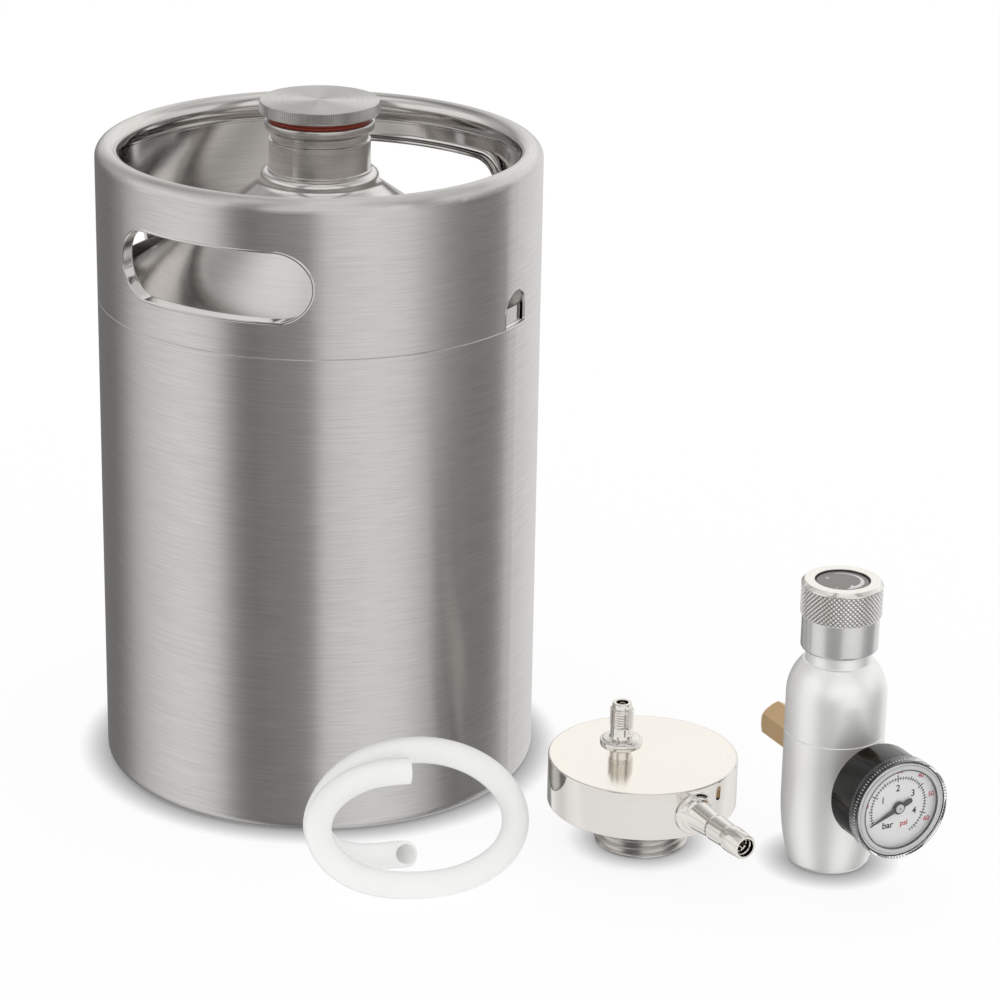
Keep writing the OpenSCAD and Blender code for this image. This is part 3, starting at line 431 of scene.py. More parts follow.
def lined_metal(name, axis, dark, light, roughness, line, length, anisotropy, depth, metallic=1.0):
    """Metal with the fine lines of a brush or a lathe tool round its axis, their width and length in mm."""
    material, tree = new_material(name)
    where = position(tree, axis)
    lines = turning_lines(tree, where, line, length)
    cloud = add(tree, "ShaderNodeTexNoise", {"Vector": where, "Scale": 18.0, "Detail": 2.0}).outputs["Fac"]
    both = add(tree, "ShaderNodeMath", {0: lines, 1: cloud}, operation="MULTIPLY_ADD")
    both.inputs[2].default_value = 0.2
    bump = add(tree, "ShaderNodeBump", {"Height": lines, "Strength": depth, "Distance": 0.02 * MM})
    values = {"Base Color": two_tones(tree, sharper(tree, lines), dark, light), "Metallic": metallic,
              "Roughness": 0.0, "Normal": bump.outputs[0]}
    if roughness:
        values["Roughness"] = span(tree, both.outputs[0], roughness - 0.06, roughness + 0.06)
    if anisotropy:
        values.update({"Anisotropic": anisotropy, "Anisotropic Rotation": 0.25,
                       "Tangent": turning_tangent(tree, where)})
    close(tree, add(tree, "ShaderNodeBsdfPrincipled", values))
    return material


def grained(name, dark, light, roughness, grain, depth, metallic=0.0, **inputs):
    """A plain moulded, cast or blasted surface with a fine even grain, its size in mm."""
    material, tree = new_material(name)
    where = position(tree)
    noise = add(tree, "ShaderNodeTexNoise",
                {"Vector": where, "Scale": 1 / (grain * MM), "Detail": 2.0}).outputs["Fac"]
    cloud = add(tree, "ShaderNodeTexNoise", {"Vector": where, "Scale": 60.0, "Detail": 1.0}).outputs["Fac"]
    bump = add(tree, "ShaderNodeBump", {"Height": noise, "Strength": depth, "Distance": 0.05 * MM})
    values = {"Base Color": two_tones(tree, cloud, dark, light), "Metallic": metallic,
              "Roughness": span(tree, noise, roughness - 0.05, roughness + 0.05), "Normal": bump.outputs[0]}
    values.update(inputs)
    close(tree, add(tree, "ShaderNodeBsdfPrincipled", values))
    return material


def rubbed_knurl(name, axis, groove, crest):
    """Plated metal, pale at the crest's radius and dark and dull at the groove's, in mm: painted shade in the
    grooves.
    """
    material, tree = new_material(name)
    height = add(tree, "ShaderNodeMapRange", {"Value": off_axis(tree, position(tree, axis))[1],
                                              "From Min": groove * MM, "From Max": crest * MM}).outputs[0]
    close(tree, add(tree, "ShaderNodeBsdfPrincipled", {
        "Base Color": two_tones(tree, height, "#747472", "#FFFDFB"), "Metallic": 0.6,
        "Roughness": span(tree, height, 0.35, 0.14)}))
    return material


FINISHES = {}


def make_finishes(colours):
    f = FINISHES
    # Stainless steel sheet, brushed level round the keg: fine lines, and light drawn out upright
    f["brushed_steel"] = lined_metal(
        "stainless_brushed_round", KEG_AXIS, "#D0CECC", "#E2E0DE",
        roughness=0.3, line=0.4, length=16, anisotropy=0.95, depth=0.14)
    # The same steel on the shoulder, satin polished: what stands round it shows softly
    f["satin_steel"] = lined_metal(
        "stainless_satin_polished", KEG_AXIS, "#DAD8D6", "#E2E0DE",
        roughness=0.2, line=0.3, length=25, anisotropy=0.3, depth=0.02)
    # The same steel, fine turned on the lathe: the light on a flat end spreads out in wedges
    f["turned_steel"] = lined_metal(
        "stainless_turned", KEG_AXIS, "#BEBCBA", "#DEDCDA",
        roughness=0.35, line=0.22, length=12, anisotropy=0.97, depth=0.2)
    # The neck, turned and buffed: clearer than the brushed wall round it
    f["buffed_steel"] = lined_metal(
        "stainless_neck_buffed", KEG_AXIS, "#C8C5C2", "#DCD9D6",
        roughness=0.17, line=0.35, length=30, anisotropy=0.85, depth=0.1)
    # The inside of the collar, polished before it was bent: clear level lines from the rim and the slots
    f["lining_steel"] = lined_metal(
        "stainless_inside_polished", KEG_AXIS, "#D2CFCD", "#E0DDDB",
        roughness=0.13, line=0.4, length=30, anisotropy=0.5, depth=0.05)
    # The head's thread, cut on the lathe and left as cut
    f["cut_steel"] = lined_metal(
        "stainless_thread_cut", HEAD_AXIS, "#C6C3C0", "#DEDBD8",
        roughness=0.25, line=0.2, length=12, anisotropy=0.6, depth=0.3)
    # Stainless steel, turned and mirror polished: clear reflections, with a trace of the polishing wheel
    f["polished_steel"] = lined_metal(
        "stainless_mirror_polished", HEAD_AXIS, "#E4E1DC", "#EFECE7",
        roughness=0.0, line=0.5, length=20, anisotropy=0.0, depth=0.03)
    # The disc's side, polished over the lathe's marks: what it shows is drawn out upright
    f["rolled_steel"] = lined_metal(
        "stainless_side_polished", HEAD_AXIS, "#E4E1DC", "#E8E5E0",
        roughness=0.0, line=0.45, length=60, anisotropy=0.0, depth=0.012)
    # The same, with the fine marks of the facing cut left in: what stands on it shows drawn out
    f["faced_steel"] = lined_metal(
        "stainless_faced_polished", HEAD_AXIS, "#F4EFE7", "#F8F3EB",
        roughness=0.11, line=0.3, length=30, anisotropy=0.8, depth=0.02)
    # Nickel plated brass, rolled knurl: pale crests, and grooves darkened by painted shade
    f["bright_nickel"] = rubbed_knurl("nickel_knurl_painted_groove_shade", REGULATOR_AXIS, 15.0, 15.45)
    # The knob's crown over the knurl, nickel plated and polished
    f["crown_nickel"] = grained(
        "nickel_plated_polished", "#F2EFEA", "#FAF7F2", roughness=0.12, grain=0.8, depth=0.04, metallic=0.8)
    # Near black, for the cup round the knob's label: its wall is painted shade of the recess
    f["black_aluminium"] = grained(
        "black_painted_recess_shade", "#2A2A2A", "#343434", roughness=0.45, grain=0.4, depth=0.1, metallic=0.3)
    # Polished bent edges of the keg's openings
    f["edge_steel"] = grained(
        "stainless_edge_polished", "#D0CECC", "#E0DEDC", roughness=0.08, grain=0.6, depth=0.05, metallic=1.0)
    # Aluminium, bead blasted and clear anodised: pale soft sheen that sparkles. The real grain of 0.1 mm
    # would not show, so it is drawn at 0.4 mm
    f["satin_aluminium"] = grained(
        "aluminium_bead_blasted", "#FBFBF9", "#FFFFFD", roughness=0.35, grain=0.4, depth=0.9, metallic=0.52)
    # Aluminium, turned and clear anodised: satin bands of light, brighter than the blasted body
    f["turned_aluminium"] = lined_metal(
        "aluminium_turned", REGULATOR_AXIS, "#DADAD9", "#E6E6E5",
        roughness=0.24, line=0.2, length=12, anisotropy=0.4, depth=0.03, metallic=0.65)
    # Steel, drawn into spring wire or turned
    f["spring_steel"] = grained(
        "spring_steel_drawn", "#9A9A98", "#B0B0AE", roughness=0.3, grain=0.4, depth=0.1, metallic=1.0)
    # Brass, milled and turned, left bare: pale dull yellow with soft tool marks
    f["brass"] = grained(
        "brass_milled", colours.brass_dark, colours.brass_light, roughness=0.36, grain=0.5, depth=0.3,
        metallic=0.6)
    # Nitrile rubber, moulded
    f["black_rubber"] = grained("nitrile_rubber", "#161616", "#1E1E1E", roughness=0.6, grain=0.3, depth=0.2)
    # Silicone rubber, moulded, red brown
    f["seal_red"] = grained(
        "silicone_red_brown", colours.seal_dark, colours.seal_light, roughness=0.5, grain=0.3, depth=0.15)
    # Nylon, turned from rod
    f["white_nylon"] = grained("nylon_natural", "#DEDCD2", "#E8E6DC", roughness=0.45, grain=0.4, depth=0.1)
    # Steel cup, stove enamelled in gloss black
    f["gloss_black"] = grained(
        "enamel_gloss_black", "#0E0E0E", "#161616", roughness=0.14, grain=1.5, depth=0.04)
    # Pale plastic ring that holds the gauge's window
    f["pale_ring"] = grained("abs_pale_grey", "#D4D4D4", "#DEDEDE", roughness=0.3, grain=0.8, depth=0.05)
    # Dial plate, painted white
    f["dial_white"] = grained(
        "paint_dial_white", "#F6F6F6", "#FCFCFC", roughness=0.5, grain=0.3, depth=0.05)
    # Aluminium pointer, painted dark grey
    f["needle_grey"] = grained(
        "paint_needle_grey", "#4E4E50", "#5A5A5C", roughness=0.45, grain=0.3, depth=0.08)
    # Printing inks
    f["print_black"] = grained("ink_black", "#1C1C1C", "#242424", roughness=0.5, grain=0.3, depth=0.02)
    f["print_red"] = grained("ink_red", "#C23A48", "#CA4450", roughness=0.5, grain=0.3, depth=0.02)
    f["print_pale"] = grained("ink_pale_grey", "#DAD8D6", "#E2E0DE", roughness=0.5, grain=0.3, depth=0.02)
    # Printed film in the knob's top
    f["label_grey"] = grained("film_satin_grey", "#7E7A78", "#868280", roughness=0.4, grain=0.3, depth=0.05)
    # Polycarbonate, moulded and clear. Its index is set below the real 1.58, for a window with faint glare
    f["clear_plastic"] = grained(
        "polycarbonate_clear", "#FFFFFF", "#FFFFFF", roughness=0.05, grain=2, depth=0.0,
        **{"Transmission Weight": 1.0, "IOR": 1.22, "Roughness": 0.0})
    # Silicone hose, extruded: milky, so the light soaks in and its shade is faint
    f["hose_milky"] = grained(
        "silicone_milky", colours.hose_dark, colours.hose_light, roughness=0.3, grain=1.2, depth=0.04,
        **{"Subsurface Weight": 0.15, "Subsurface Scale": 1 * MM, "IOR": 1.3, "Subsurface Radius": (1, 1, 1)})


def dress_cad_nodes():
    """Every CAD node that stays in sight gets its finish from the record's slot."""
    for part in frame["record"]["subparts"]:
        node = frame["nodes"][part["node"]]
        node.data.materials.clear()
        node.data.materials.append(FINISHES[part["material_slot"]])


# Sizes and colours that a user would change


class KEG_PG_camera(bpy.types.PropertyGroup):
    height: FloatProperty(name="Height", description="Height of the camera above the floor", default=0.612,
                          unit="LENGTH")
    distance: FloatProperty(name="Distance", description="Distance from keg to camera, along the floor",
                            default=1.3432, unit="LENGTH")
    lens: FloatProperty(name="Lens", description="Focal length on a 36 mm sensor, in mm", default=125.2,
                        unit="CAMERA")


class KEG_PG_colours(bpy.types.PropertyGroup):
    seal_dark: StringProperty(name="Seal, dark", description="Darker tone of the cap's seal, as sRGB hex",
                              default="#86301F")
    seal_light: StringProperty(name="Seal, light", description="Lighter tone of the cap's seal, as sRGB hex",
                               default="#9C3C2A")
    brass_dark: StringProperty(name="Brass, dark", description="Darker tone of the outlet, as sRGB hex",
                               default="#E0BC8C")
    brass_light: StringProperty(name="Brass, light", description="Lighter tone of the outlet, as sRGB hex",
                                default="#EDCFA2")
    hose_dark: StringProperty(name="Hose, dark", description="Darker tone of the hose, as sRGB hex",
                              default="#F3F4F2")
    hose_light: StringProperty(name="Hose, light", description="Lighter tone of the hose, as sRGB hex",
                               default="#F8F9F7")


class KEG_PG_hose(bpy.types.PropertyGroup):
    diameter: FloatProperty(name="Diameter", description="Outer diameter of the hose", default=0.0106,
                            unit="LENGTH")
    wall: FloatProperty(name="Wall", description="Wall of the hose", default=0.0015, unit="LENGTH")


class KEG_PG_cap(bpy.types.PropertyGroup):
    ridges: IntProperty(name="Ridges", description="Ridges of the straight knurl round the cap", default=160)
    pitch: FloatProperty(name="Pitch", description="Pitch of the cap's and the head's thread", default=0.003,
                         unit="LENGTH")


class KEG_PG_knob(bpy.types.PropertyGroup):
    diamonds: IntProperty(name="Diamonds", description="Diamonds in one row of the knob's knurl", default=52)
    arrow_turn: FloatProperty(name="Arrow turn", description="Turn of the printed arrow on the knob",
                              default=math.radians(21), subtype="ANGLE")


class KEG_PG_collar(bpy.types.PropertyGroup):
    slot_width: FloatProperty(name="Slot width", description="Width of a hand slot", default=0.0844,
                              unit="LENGTH")
    slot_height: FloatProperty(name="Slot height", description="Height of a hand slot", default=0.0272,
                               unit="LENGTH")
    slot_centre: FloatProperty(name="Slot centre", description="Height of a slot's middle over the floor",
                               default=0.2258, unit="LENGTH")
    notch_width: FloatProperty(name="Notch width", description="Width of a drain notch", default=0.0164,
                               unit="LENGTH")
    notch_height: FloatProperty(name="Notch height", description="Height of a drain notch", default=0.0145,
                                unit="LENGTH")


class KEG_PG_gauge(bpy.types.PropertyGroup):
    top_mark: FloatProperty(name="Top mark", description="Highest pressure on the dial, in bar", default=4.7)
    zero: FloatProperty(name="Zero", description="Direction of the zero mark, from the dial's right",
                        default=math.radians(208), subtype="ANGLE")
    bar_turn: FloatProperty(name="Turn for one bar", description="Turn of the needle for one bar",
                            default=math.radians(57.2), subtype="ANGLE")


# Camera and stage


class KEG_OT_camera(bpy.types.Operator):
    """Place the camera as for the photograph"""
    bl_idname = "keg.camera"
    bl_label = "Camera"

    def execute(self, context):
        sizes = context.scene.keg_camera
        # How far the camera looks aside, down and leaning, and how far round the keg it stands, in degrees
        yaw, pitch, roll, turn = (math.radians(angle) for angle in (3.164, 20.536, 1.065, 30.2))
        forward = Vector((math.sin(yaw) * math.cos(pitch), math.cos(yaw) * math.cos(pitch), -math.sin(pitch)))
        right = forward.cross(Vector((0, 0, 1))).normalized()
        up = right.cross(forward)
        across = math.cos(roll) * right + math.sin(roll) * up
        upward = -math.sin(roll) * right + math.cos(roll) * up
        look = Matrix((across, upward, -forward)).transposed().to_4x4()
        about = Matrix.Rotation(turn, 4, "Z")
        data = bpy.data.cameras.new("camera")
        data.lens, data.sensor_width, data.clip_end = sizes.lens, 36, 50
        camera = bpy.data.objects.new("camera", data)
        context.scene.collection.objects.link(camera)
        camera.matrix_world = about @ Matrix.Translation((0, -sizes.distance, sizes.height)) @ look
        context.scene.camera = camera
        return {"FINISHED"}


# The studio seen in the metal, by direction in degrees: soft light screens and the gaps between them.
# The brushed sides see these below the horizon, where the floor gives way to the screens' feet.
SCREENS = ((-180, 0.35), (-171, 0.58), (-158, 0.75), (-138, 0.88), (-124, 0.81), (-115, 0.63),
           (-109, 0.33), (-102, 0.18), (-88, 0.13), (-78, 0.14), (-70, 0.18), (-64, 0.25), (-58, 0.67),
           (-52, 0.75), (-32, 0.88), (-14, 0.82), (-3, 0.68), (4, 0.48), (11, 0.28), (24, 0.16),
           (42, 0.15), (50, 0.21), (56, 0.7), (80, 0.85), (106, 0.83), (118, 0.42), (130, 0.18),
           (168, 0.18), (180, 0.35))
# Mirror polished pieces see one wide even screen, with a few soft folds
MIRRORED = ((-180, 0.74), (-165, 0.9), (-150, 0.98), (-138, 0.9), (-60, 0.93), (20, 0.92), (42, 0.82),
            (58, 0.98), (84, 0.9), (110, 0.62), (126, 0.3), (144, 0.28), (152, 0.94), (166, 0.8), (180, 0.74))
# Above the horizon: pale walls, with a few dark gaps between them
WALLS = ((-180, 0.6), (-165, 0.95), (-110, 0.97), (-104, 0.35), (-93, 0.35), (-87, 0.95), (-14, 0.95),
         (-8, 0.45), (2, 0.45), (9, 0.85), (50, 0.8), (60, 0.97), (100, 1.0), (118, 1.0), (136, 0.72),
         (150, 0.4), (180, 0.6))
# From the horizon up to the ceiling, by the height of the direction
HEIGHTS = ((0.0, 0.5), (0.14, 0.95), (0.4, 1.02), (0.55, 1.0), (0.68, 0.7), (0.8, 0.66), (0.93, 0.95))
# How far the floor's soft shade reaches from what stands there, and how steeply it grows towards it
SHADE_REACH, SHADE_POWER = 13 * MM, 2.1
WHITE = (1, 1, 1, 1)
# Loose items whose bodies show nowhere in the metal round them
UNMIRRORED = ("regulator_body", "bonnet_turned", "knob_turned", "knob_crown", "knob_knurl", "outlet_nut",
              "outlet_stem", "head_disc", "head_face")


def levels(tree, factor, stops, low=0.0, high=1.0):
    """A colour ramp of plain levels."""
    ramp = add(tree, "ShaderNodeValToRGB", {"Fac": factor})
    marks = ramp.color_ramp.elements
    while len(marks) < len(stops):
        marks.new(0.5)
    for mark, (place, level) in zip(marks, stops):
        mark.position = (place - low) / (high - low)
        mark.color = (level, level * 0.997, level * 0.99, 1)
    return ramp.outputs["Color"]


def mixed(tree, factor, first, second, how="MIX"):
    """Two colours mixed by a factor."""
    return add(tree, "ShaderNodeMix", {"Factor": factor, "A": first, "B": second}, data_type="RGBA",
               blend_type=how).outputs["Result"]


class KEG_OT_stage(bpy.types.Operator):
    """Lay the pale floor and hang the soft studio light"""
    bl_idname = "keg.stage"
    bl_label = "Floor and light"

    def execute(self, context):
        context.scene.view_settings.view_transform = "Standard"
        deselect()
        bpy.ops.mesh.primitive_circle_add(vertices=96, radius=9, fill_type="NGON")
        floor = context.object
        floor.name = floor.data.name = "floor"
        floor.visible_glossy = False
        material, tree = new_material("floor_white")
        # The studio lights the paint, and its own light lifts it to white. Both fade near what stands there:
        # a painted shadow, darker where more stands close round a spot
        near = add(tree, "ShaderNodeAmbientOcclusion", {"Distance": SHADE_REACH}, samples=12).outputs["AO"]
        shade = add(tree, "ShaderNodeMath", {0: near, 1: SHADE_POWER}, operation="POWER").outputs[0]
        paint = add(tree, "ShaderNodeBsdfDiffuse", {"Color": two_tones(tree, shade, "#181818", "#646464")})
        lift = add(tree, "ShaderNodeEmission", {"Color": WHITE, "Strength": span(tree, shade, 0.26, 0.88)})
        close(tree, add(tree, "ShaderNodeAddShader", {0: paint.outputs[0], 1: lift.outputs[0]}))
        floor.data.materials.append(material)

        world = bpy.data.worlds.new("studio")
        context.scene.world = world
        world.use_nodes = True
        tree = world.node_tree
        tree.nodes.clear()
        parts = add(tree, "ShaderNodeSeparateXYZ", {0: add(tree, "ShaderNodeTexCoord").outputs["Generated"]})
        angle = add(tree, "ShaderNodeMath", {0: parts.outputs[1], 1: parts.outputs[0]}, operation="ARCTAN2")
        share = add(tree, "ShaderNodeMapRange",
                    {"Value": angle.outputs[0], "From Min": -math.pi, "From Max": math.pi}).outputs[0]
        path = add(tree, "ShaderNodeLightPath").outputs
        screens, mirrored, walls = (levels(tree, share, stops, -180, 180)
                                    for stops in (SCREENS, MIRRORED, WALLS))
        low = mixed(tree, path["Is Singular Ray"], screens, mirrored)
        high = mixed(tree, 1.0, walls, levels(tree, parts.outputs[2], HEIGHTS), "MULTIPLY")
        # The walls take over from the screens in a narrow band round the horizon
        rise = add(tree, "ShaderNodeMapRange",
                   {"Value": parts.outputs[2], "From Min": -0.02, "From Max": 0.08}).outputs[0]
        studio = mixed(tree, rise, low, high)
        seen = add(tree, "ShaderNodeMath",
                   {0: path["Is Camera Ray"], 1: path["Is Transmission Ray"]}, operation="MAXIMUM").outputs[0]
        sight = mixed(tree, seen, mixed(tree, path["Is Diffuse Ray"], studio, WHITE), WHITE)
        light = add(tree, "ShaderNodeBackground", {"Color": sight})
        add(tree, "ShaderNodeOutputWorld", {"Surface": light.outputs[0]})
        for name in UNMIRRORED:
            bpy.data.objects[name].visible_glossy = False
        return {"FINISHED"}


# Pieces

# The hose's route, as the part's source has it: across, up the slope and off the slope, in mm
HOSE_START = (108.6, -106.1)
HOSE_ACROSS, HOSE_LEAN = math.radians(37.6), math.radians(28)
HOSE_ROUTE = (
    (0, 51.5, 4.5), (-8, 51, 5), (-16, 49.5, 5.5), (-24, 46, 5.8), (-31, 41, 5.8), (-36.5, 34, 5.6),
    (-39, 26, 4.6), (-37.5, 18, 3), (-33, 11, 1.5), (-26, 5.5, 0.5), (-17, 2, 0), (-7, 0.3, 0), (4, 0.2, 0),
    (15, 2.3, 0), (25, 7, 0), (33, 14, 0), (38, 23, 0), (39.5, 33, 0), (37.5, 43, 0), (32, 52, 0),
    (24, 59, 0), (14, 63.5, 0), (3, 65, 0), (-8, 64, -0.5), (-18.5, 60.5, -1.5), (-27.5, 54.5, -3.2),
    (-34, 46.5, -5),
    (-37.5, 38, -6.2), (-37, 30, -7), (-31.5, 23.5, -7.5), (-24, 20.5, -7.3), (-16.5, 19, -6),
    (-9.5, 17.5, -3.5), (-3.5, 15, 0))
# The rings of the hose's mesh that its slanted cut may reach, counted from its lower end
END_RINGS = 10


def hose_points(radius, shares):
    """Points on the hose's middle line, on a smooth curve through every route point."""
    side = Vector((math.cos(HOSE_ACROSS), math.sin(HOSE_ACROSS), 0))
    rise = Vector((-math.sin(HOSE_ACROSS) * math.cos(HOSE_LEAN), math.cos(HOSE_ACROSS) * math.cos(HOSE_LEAN),
                   math.sin(HOSE_LEAN)))
    off = side.cross(rise)
    foot = Vector((HOSE_START[0] * MM, HOSE_START[1] * MM, radius))
    marks = [foot + (a * side + u * rise + o * off) * MM for a, u, o in HOSE_ROUTE]
    last = len(marks) - 1
    points = []
    for i in range(last):
        p, q, r, s = (marks[min(max(i + k, 0), last)] for k in (-1, 0, 1, 2))
        for t in shares:
            points.append(0.5 * (2 * q + (r - p) * t + (2 * p - 5 * q + 4 * r - s) * t * t
                                 + (3 * q - p - 3 * r + s) * t ** 3))
    return points + [marks[last]]


class KEG_OT_hose(bpy.types.Operator):
    """Lay the milky beer hose in its loop on the keg"""
    bl_idname = "keg.hose"
    bl_label = "Hose"

    def execute(self, context):
        sizes = context.scene.keg_hose
        radius = sizes.diameter / 2
        path = hose_points(radius, (0, 0.25, 0.5, 0.75))
        deselect()
        bpy.ops.curve.primitive_nurbs_path_add()
        line = context.object
        line.name = line.data.name = "hose_tube"
        line.data.splines.clear()
        spline = line.data.splines.new("POLY")
        spline.points.add(len(path) - 1)
        for point, place in zip(spline.points, path):
            point.co = (*place, 1)
        line.data.bevel_depth = radius
        line.data.bevel_resolution = 10
        line.data.use_fill_caps = False
        bpy.ops.object.convert(target="MESH")
        tube = context.object
        tube.matrix_world = Matrix.Identity(4)
        bpy.ops.object.mode_set(mode="EDIT")
        bpy.ops.mesh.select_all(action="SELECT")
        bpy.ops.mesh.remove_doubles(threshold=MERGE)
        bpy.ops.mesh.normals_make_consistent(inside=False)
        bpy.ops.object.mode_set(mode="OBJECT")
        # The lower end is cut on the slant, as a knife leaves it, with its bore open to the front
        end, along = path[-1], (path[-1] - path[-2]).normalized()
        viewer = (context.scene.camera.matrix_world.translation - end).normalized()
        slant = (along + 0.4 * (viewer - viewer.dot(along) * along).normalized()).normalized()
        rings = len(path)
        for vertex in tube.data.vertices:
            nearest = min(range(rings), key=lambda i: (path[i] - vertex.co).length_squared)
            vertex.select = nearest > rings - END_RINGS
        for part in (*tube.data.edges, *tube.data.polygons):
            part.select = all(tube.data.vertices[i].select for i in part.vertices)
        bpy.ops.object.mode_set(mode="EDIT")
        bpy.ops.mesh.bisect(plane_co=end - along * 0.5 * radius, plane_no=slant, clear_outer=True)
        bpy.ops.object.mode_set(mode="OBJECT")
        use(tube, "SOLIDIFY", thickness=sizes.wall, offset=-1, use_rim=True)
        smooth(tube, 45)
        # Milky rubber lets the light through: the hose throws no shadow, and metal hardly shows it
        tube.visible_shadow = False
        tube.visible_glossy = False
        fit_piece(tube, "hose", "hose_milky", FINISHES["hose_milky"], "beer_hose")
        return {"FINISHED"}


class KEG_OT_cap(bpy.types.Operator):
    """Turn the neck, the screw cap with its straight knurl, and the seal ring"""
    bl_idname = "keg.cap"
    bl_label = "Neck and cap"

    def execute(self, context):
        sizes = context.scene.keg_cap
        steel = FINISHES["turned_steel"]
        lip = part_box("neck")[1].z / MM
        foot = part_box("neck")[0].z / MM
        step, cone_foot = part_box("shoulder_cone")[1].z / MM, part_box("shoulder_cone")[0].z / MM
        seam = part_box("vessel_shell")[1].z / MM
        cone = turned("shoulder_pressed", [
            (20.3, step - 1), (20.3, step), (23.6, step, 2.6), (23.9, step - 4.8, 3.2), (87.95, seam, 1.5),
            (87.95, cone_foot), (86.95, cone_foot), (86.95, seam - 0.4, 1.5), (22.6, step - 5.8, 3.2),
            (22.4, step - 1, 1.6)], closed=True)
        fit_piece(cone, "keg", "brushed_steel", FINISHES["satin_steel"], "shoulder_cone")
        neck = turned("neck_turned", [
            (18.9, foot), (20.3, foot), (20.3, step - 0.2), (20.9, step - 0.1), (20.9, step + 0.8, 0.3),
            (20.3, step + 1.1, 0.1), (20.3, lip - 7.7, 0.15), (19.4, lip - 7.4, 0.15), (19.4, lip - 4.5, 0.3),
            (20.2, lip - 4.1, 0.2), (20.4, lip - 3.4, 0.1), (21.9, lip - 3.2, 0.25), (21.9, lip, 0.6),
            (18.9, lip, 0.5)], closed=True)
        fit_piece(neck, "keg", "brushed_steel", FINISHES["buffed_steel"], "neck")

        base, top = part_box("cap_seal")[1].z / MM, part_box("screw_cap")[1].z / MM
        disc = turned("cap_disc", [
            (0, top - 2.8), (15.65, top - 2.8), (15.65, lip - 11.4), (17.9, lip - 11.4), (17.9, lip - 0.5),
            (18.85, lip - 0.2), (18.85, base), (20.5, base), (20.5, base + 0.5), (23.75, base + 0.5, 0.35),
            (23.75, base + 1.1, 0.1), (23.3, base + 1.3), (23.3, top - 0.5), (23.75, top - 0.4, 0.1),
            (23.75, top, 0.3), (0, top)])
        fit_piece(disc, "cap", "brushed_steel", steel, "screw_cap")
        thread = threaded("cap_thread", 18.85, 17.95, sizes.pitch / MM, lip - 11.4, lip - 0.4, 0.8, 0.3)
        fit_piece(thread, "cap", "brushed_steel", steel, "screw_cap")
        deselect()
        bpy.ops.mesh.primitive_cylinder_add(vertices=4, radius=0.55 * MM, depth=(top - base - 1.6) * MM,
                                            location=(23.42 * MM, 0, (top + base + 0.8) / 2 * MM))
        ridge = context.object
        ridge.name = ridge.data.name = "cap_knurl"
        bpy.ops.object.transform_apply(location=True, rotation=True, scale=True)
        ring_of(ridge, sizes.ridges)
        fit_piece(ridge, "cap", "brushed_steel", steel, "screw_cap")

        seal = turned("seal_ring", [
            (18.95, lip), (20.1, lip, 0.25), (20.1, lip + 0.85), (19.7, lip + 1.1), (20.1, lip + 1.35),
            (20.1, base, 0.25), (18.95, base)], closed=True)
        fit_piece(seal, "cap_seal", "seal_red", FINISHES["seal_red"], "cap_seal")
        return {"FINISHED"}


# Sections of the polished edges, as opening_edge takes them. A slot's flange is bent in by 5 mm and rolled at
# its end, and a notch's edge is only rounded
SLOT_EDGE = (
    (1.1, -0.1), (0.9, 0.14), (0.6, 0.3), (0.25, 0.28), (-0.04, 0.05), (-0.14, -0.4), (-0.14, -4.2),
    (-0.3, -4.7), (-0.25, -5.2), (0.1, -5.7), (0.65, -5.85), (1.2, -5.7), (1.55, -5.2), (1.6, -4.7),
    (1.35, -4.2), (1.35, -2.1), (1.5, -1.75), (1.9, -1.48), (2.6, -1.4), (2.6, -1.1))
NOTCH_EDGE = (
    (0.8, -0.1), (0.45, 0.14), (0.05, 0.14), (-0.12, -0.05), (-0.12, -1.15), (0.05, -1.32), (0.45, -1.32),
    (0.8, -1.1))


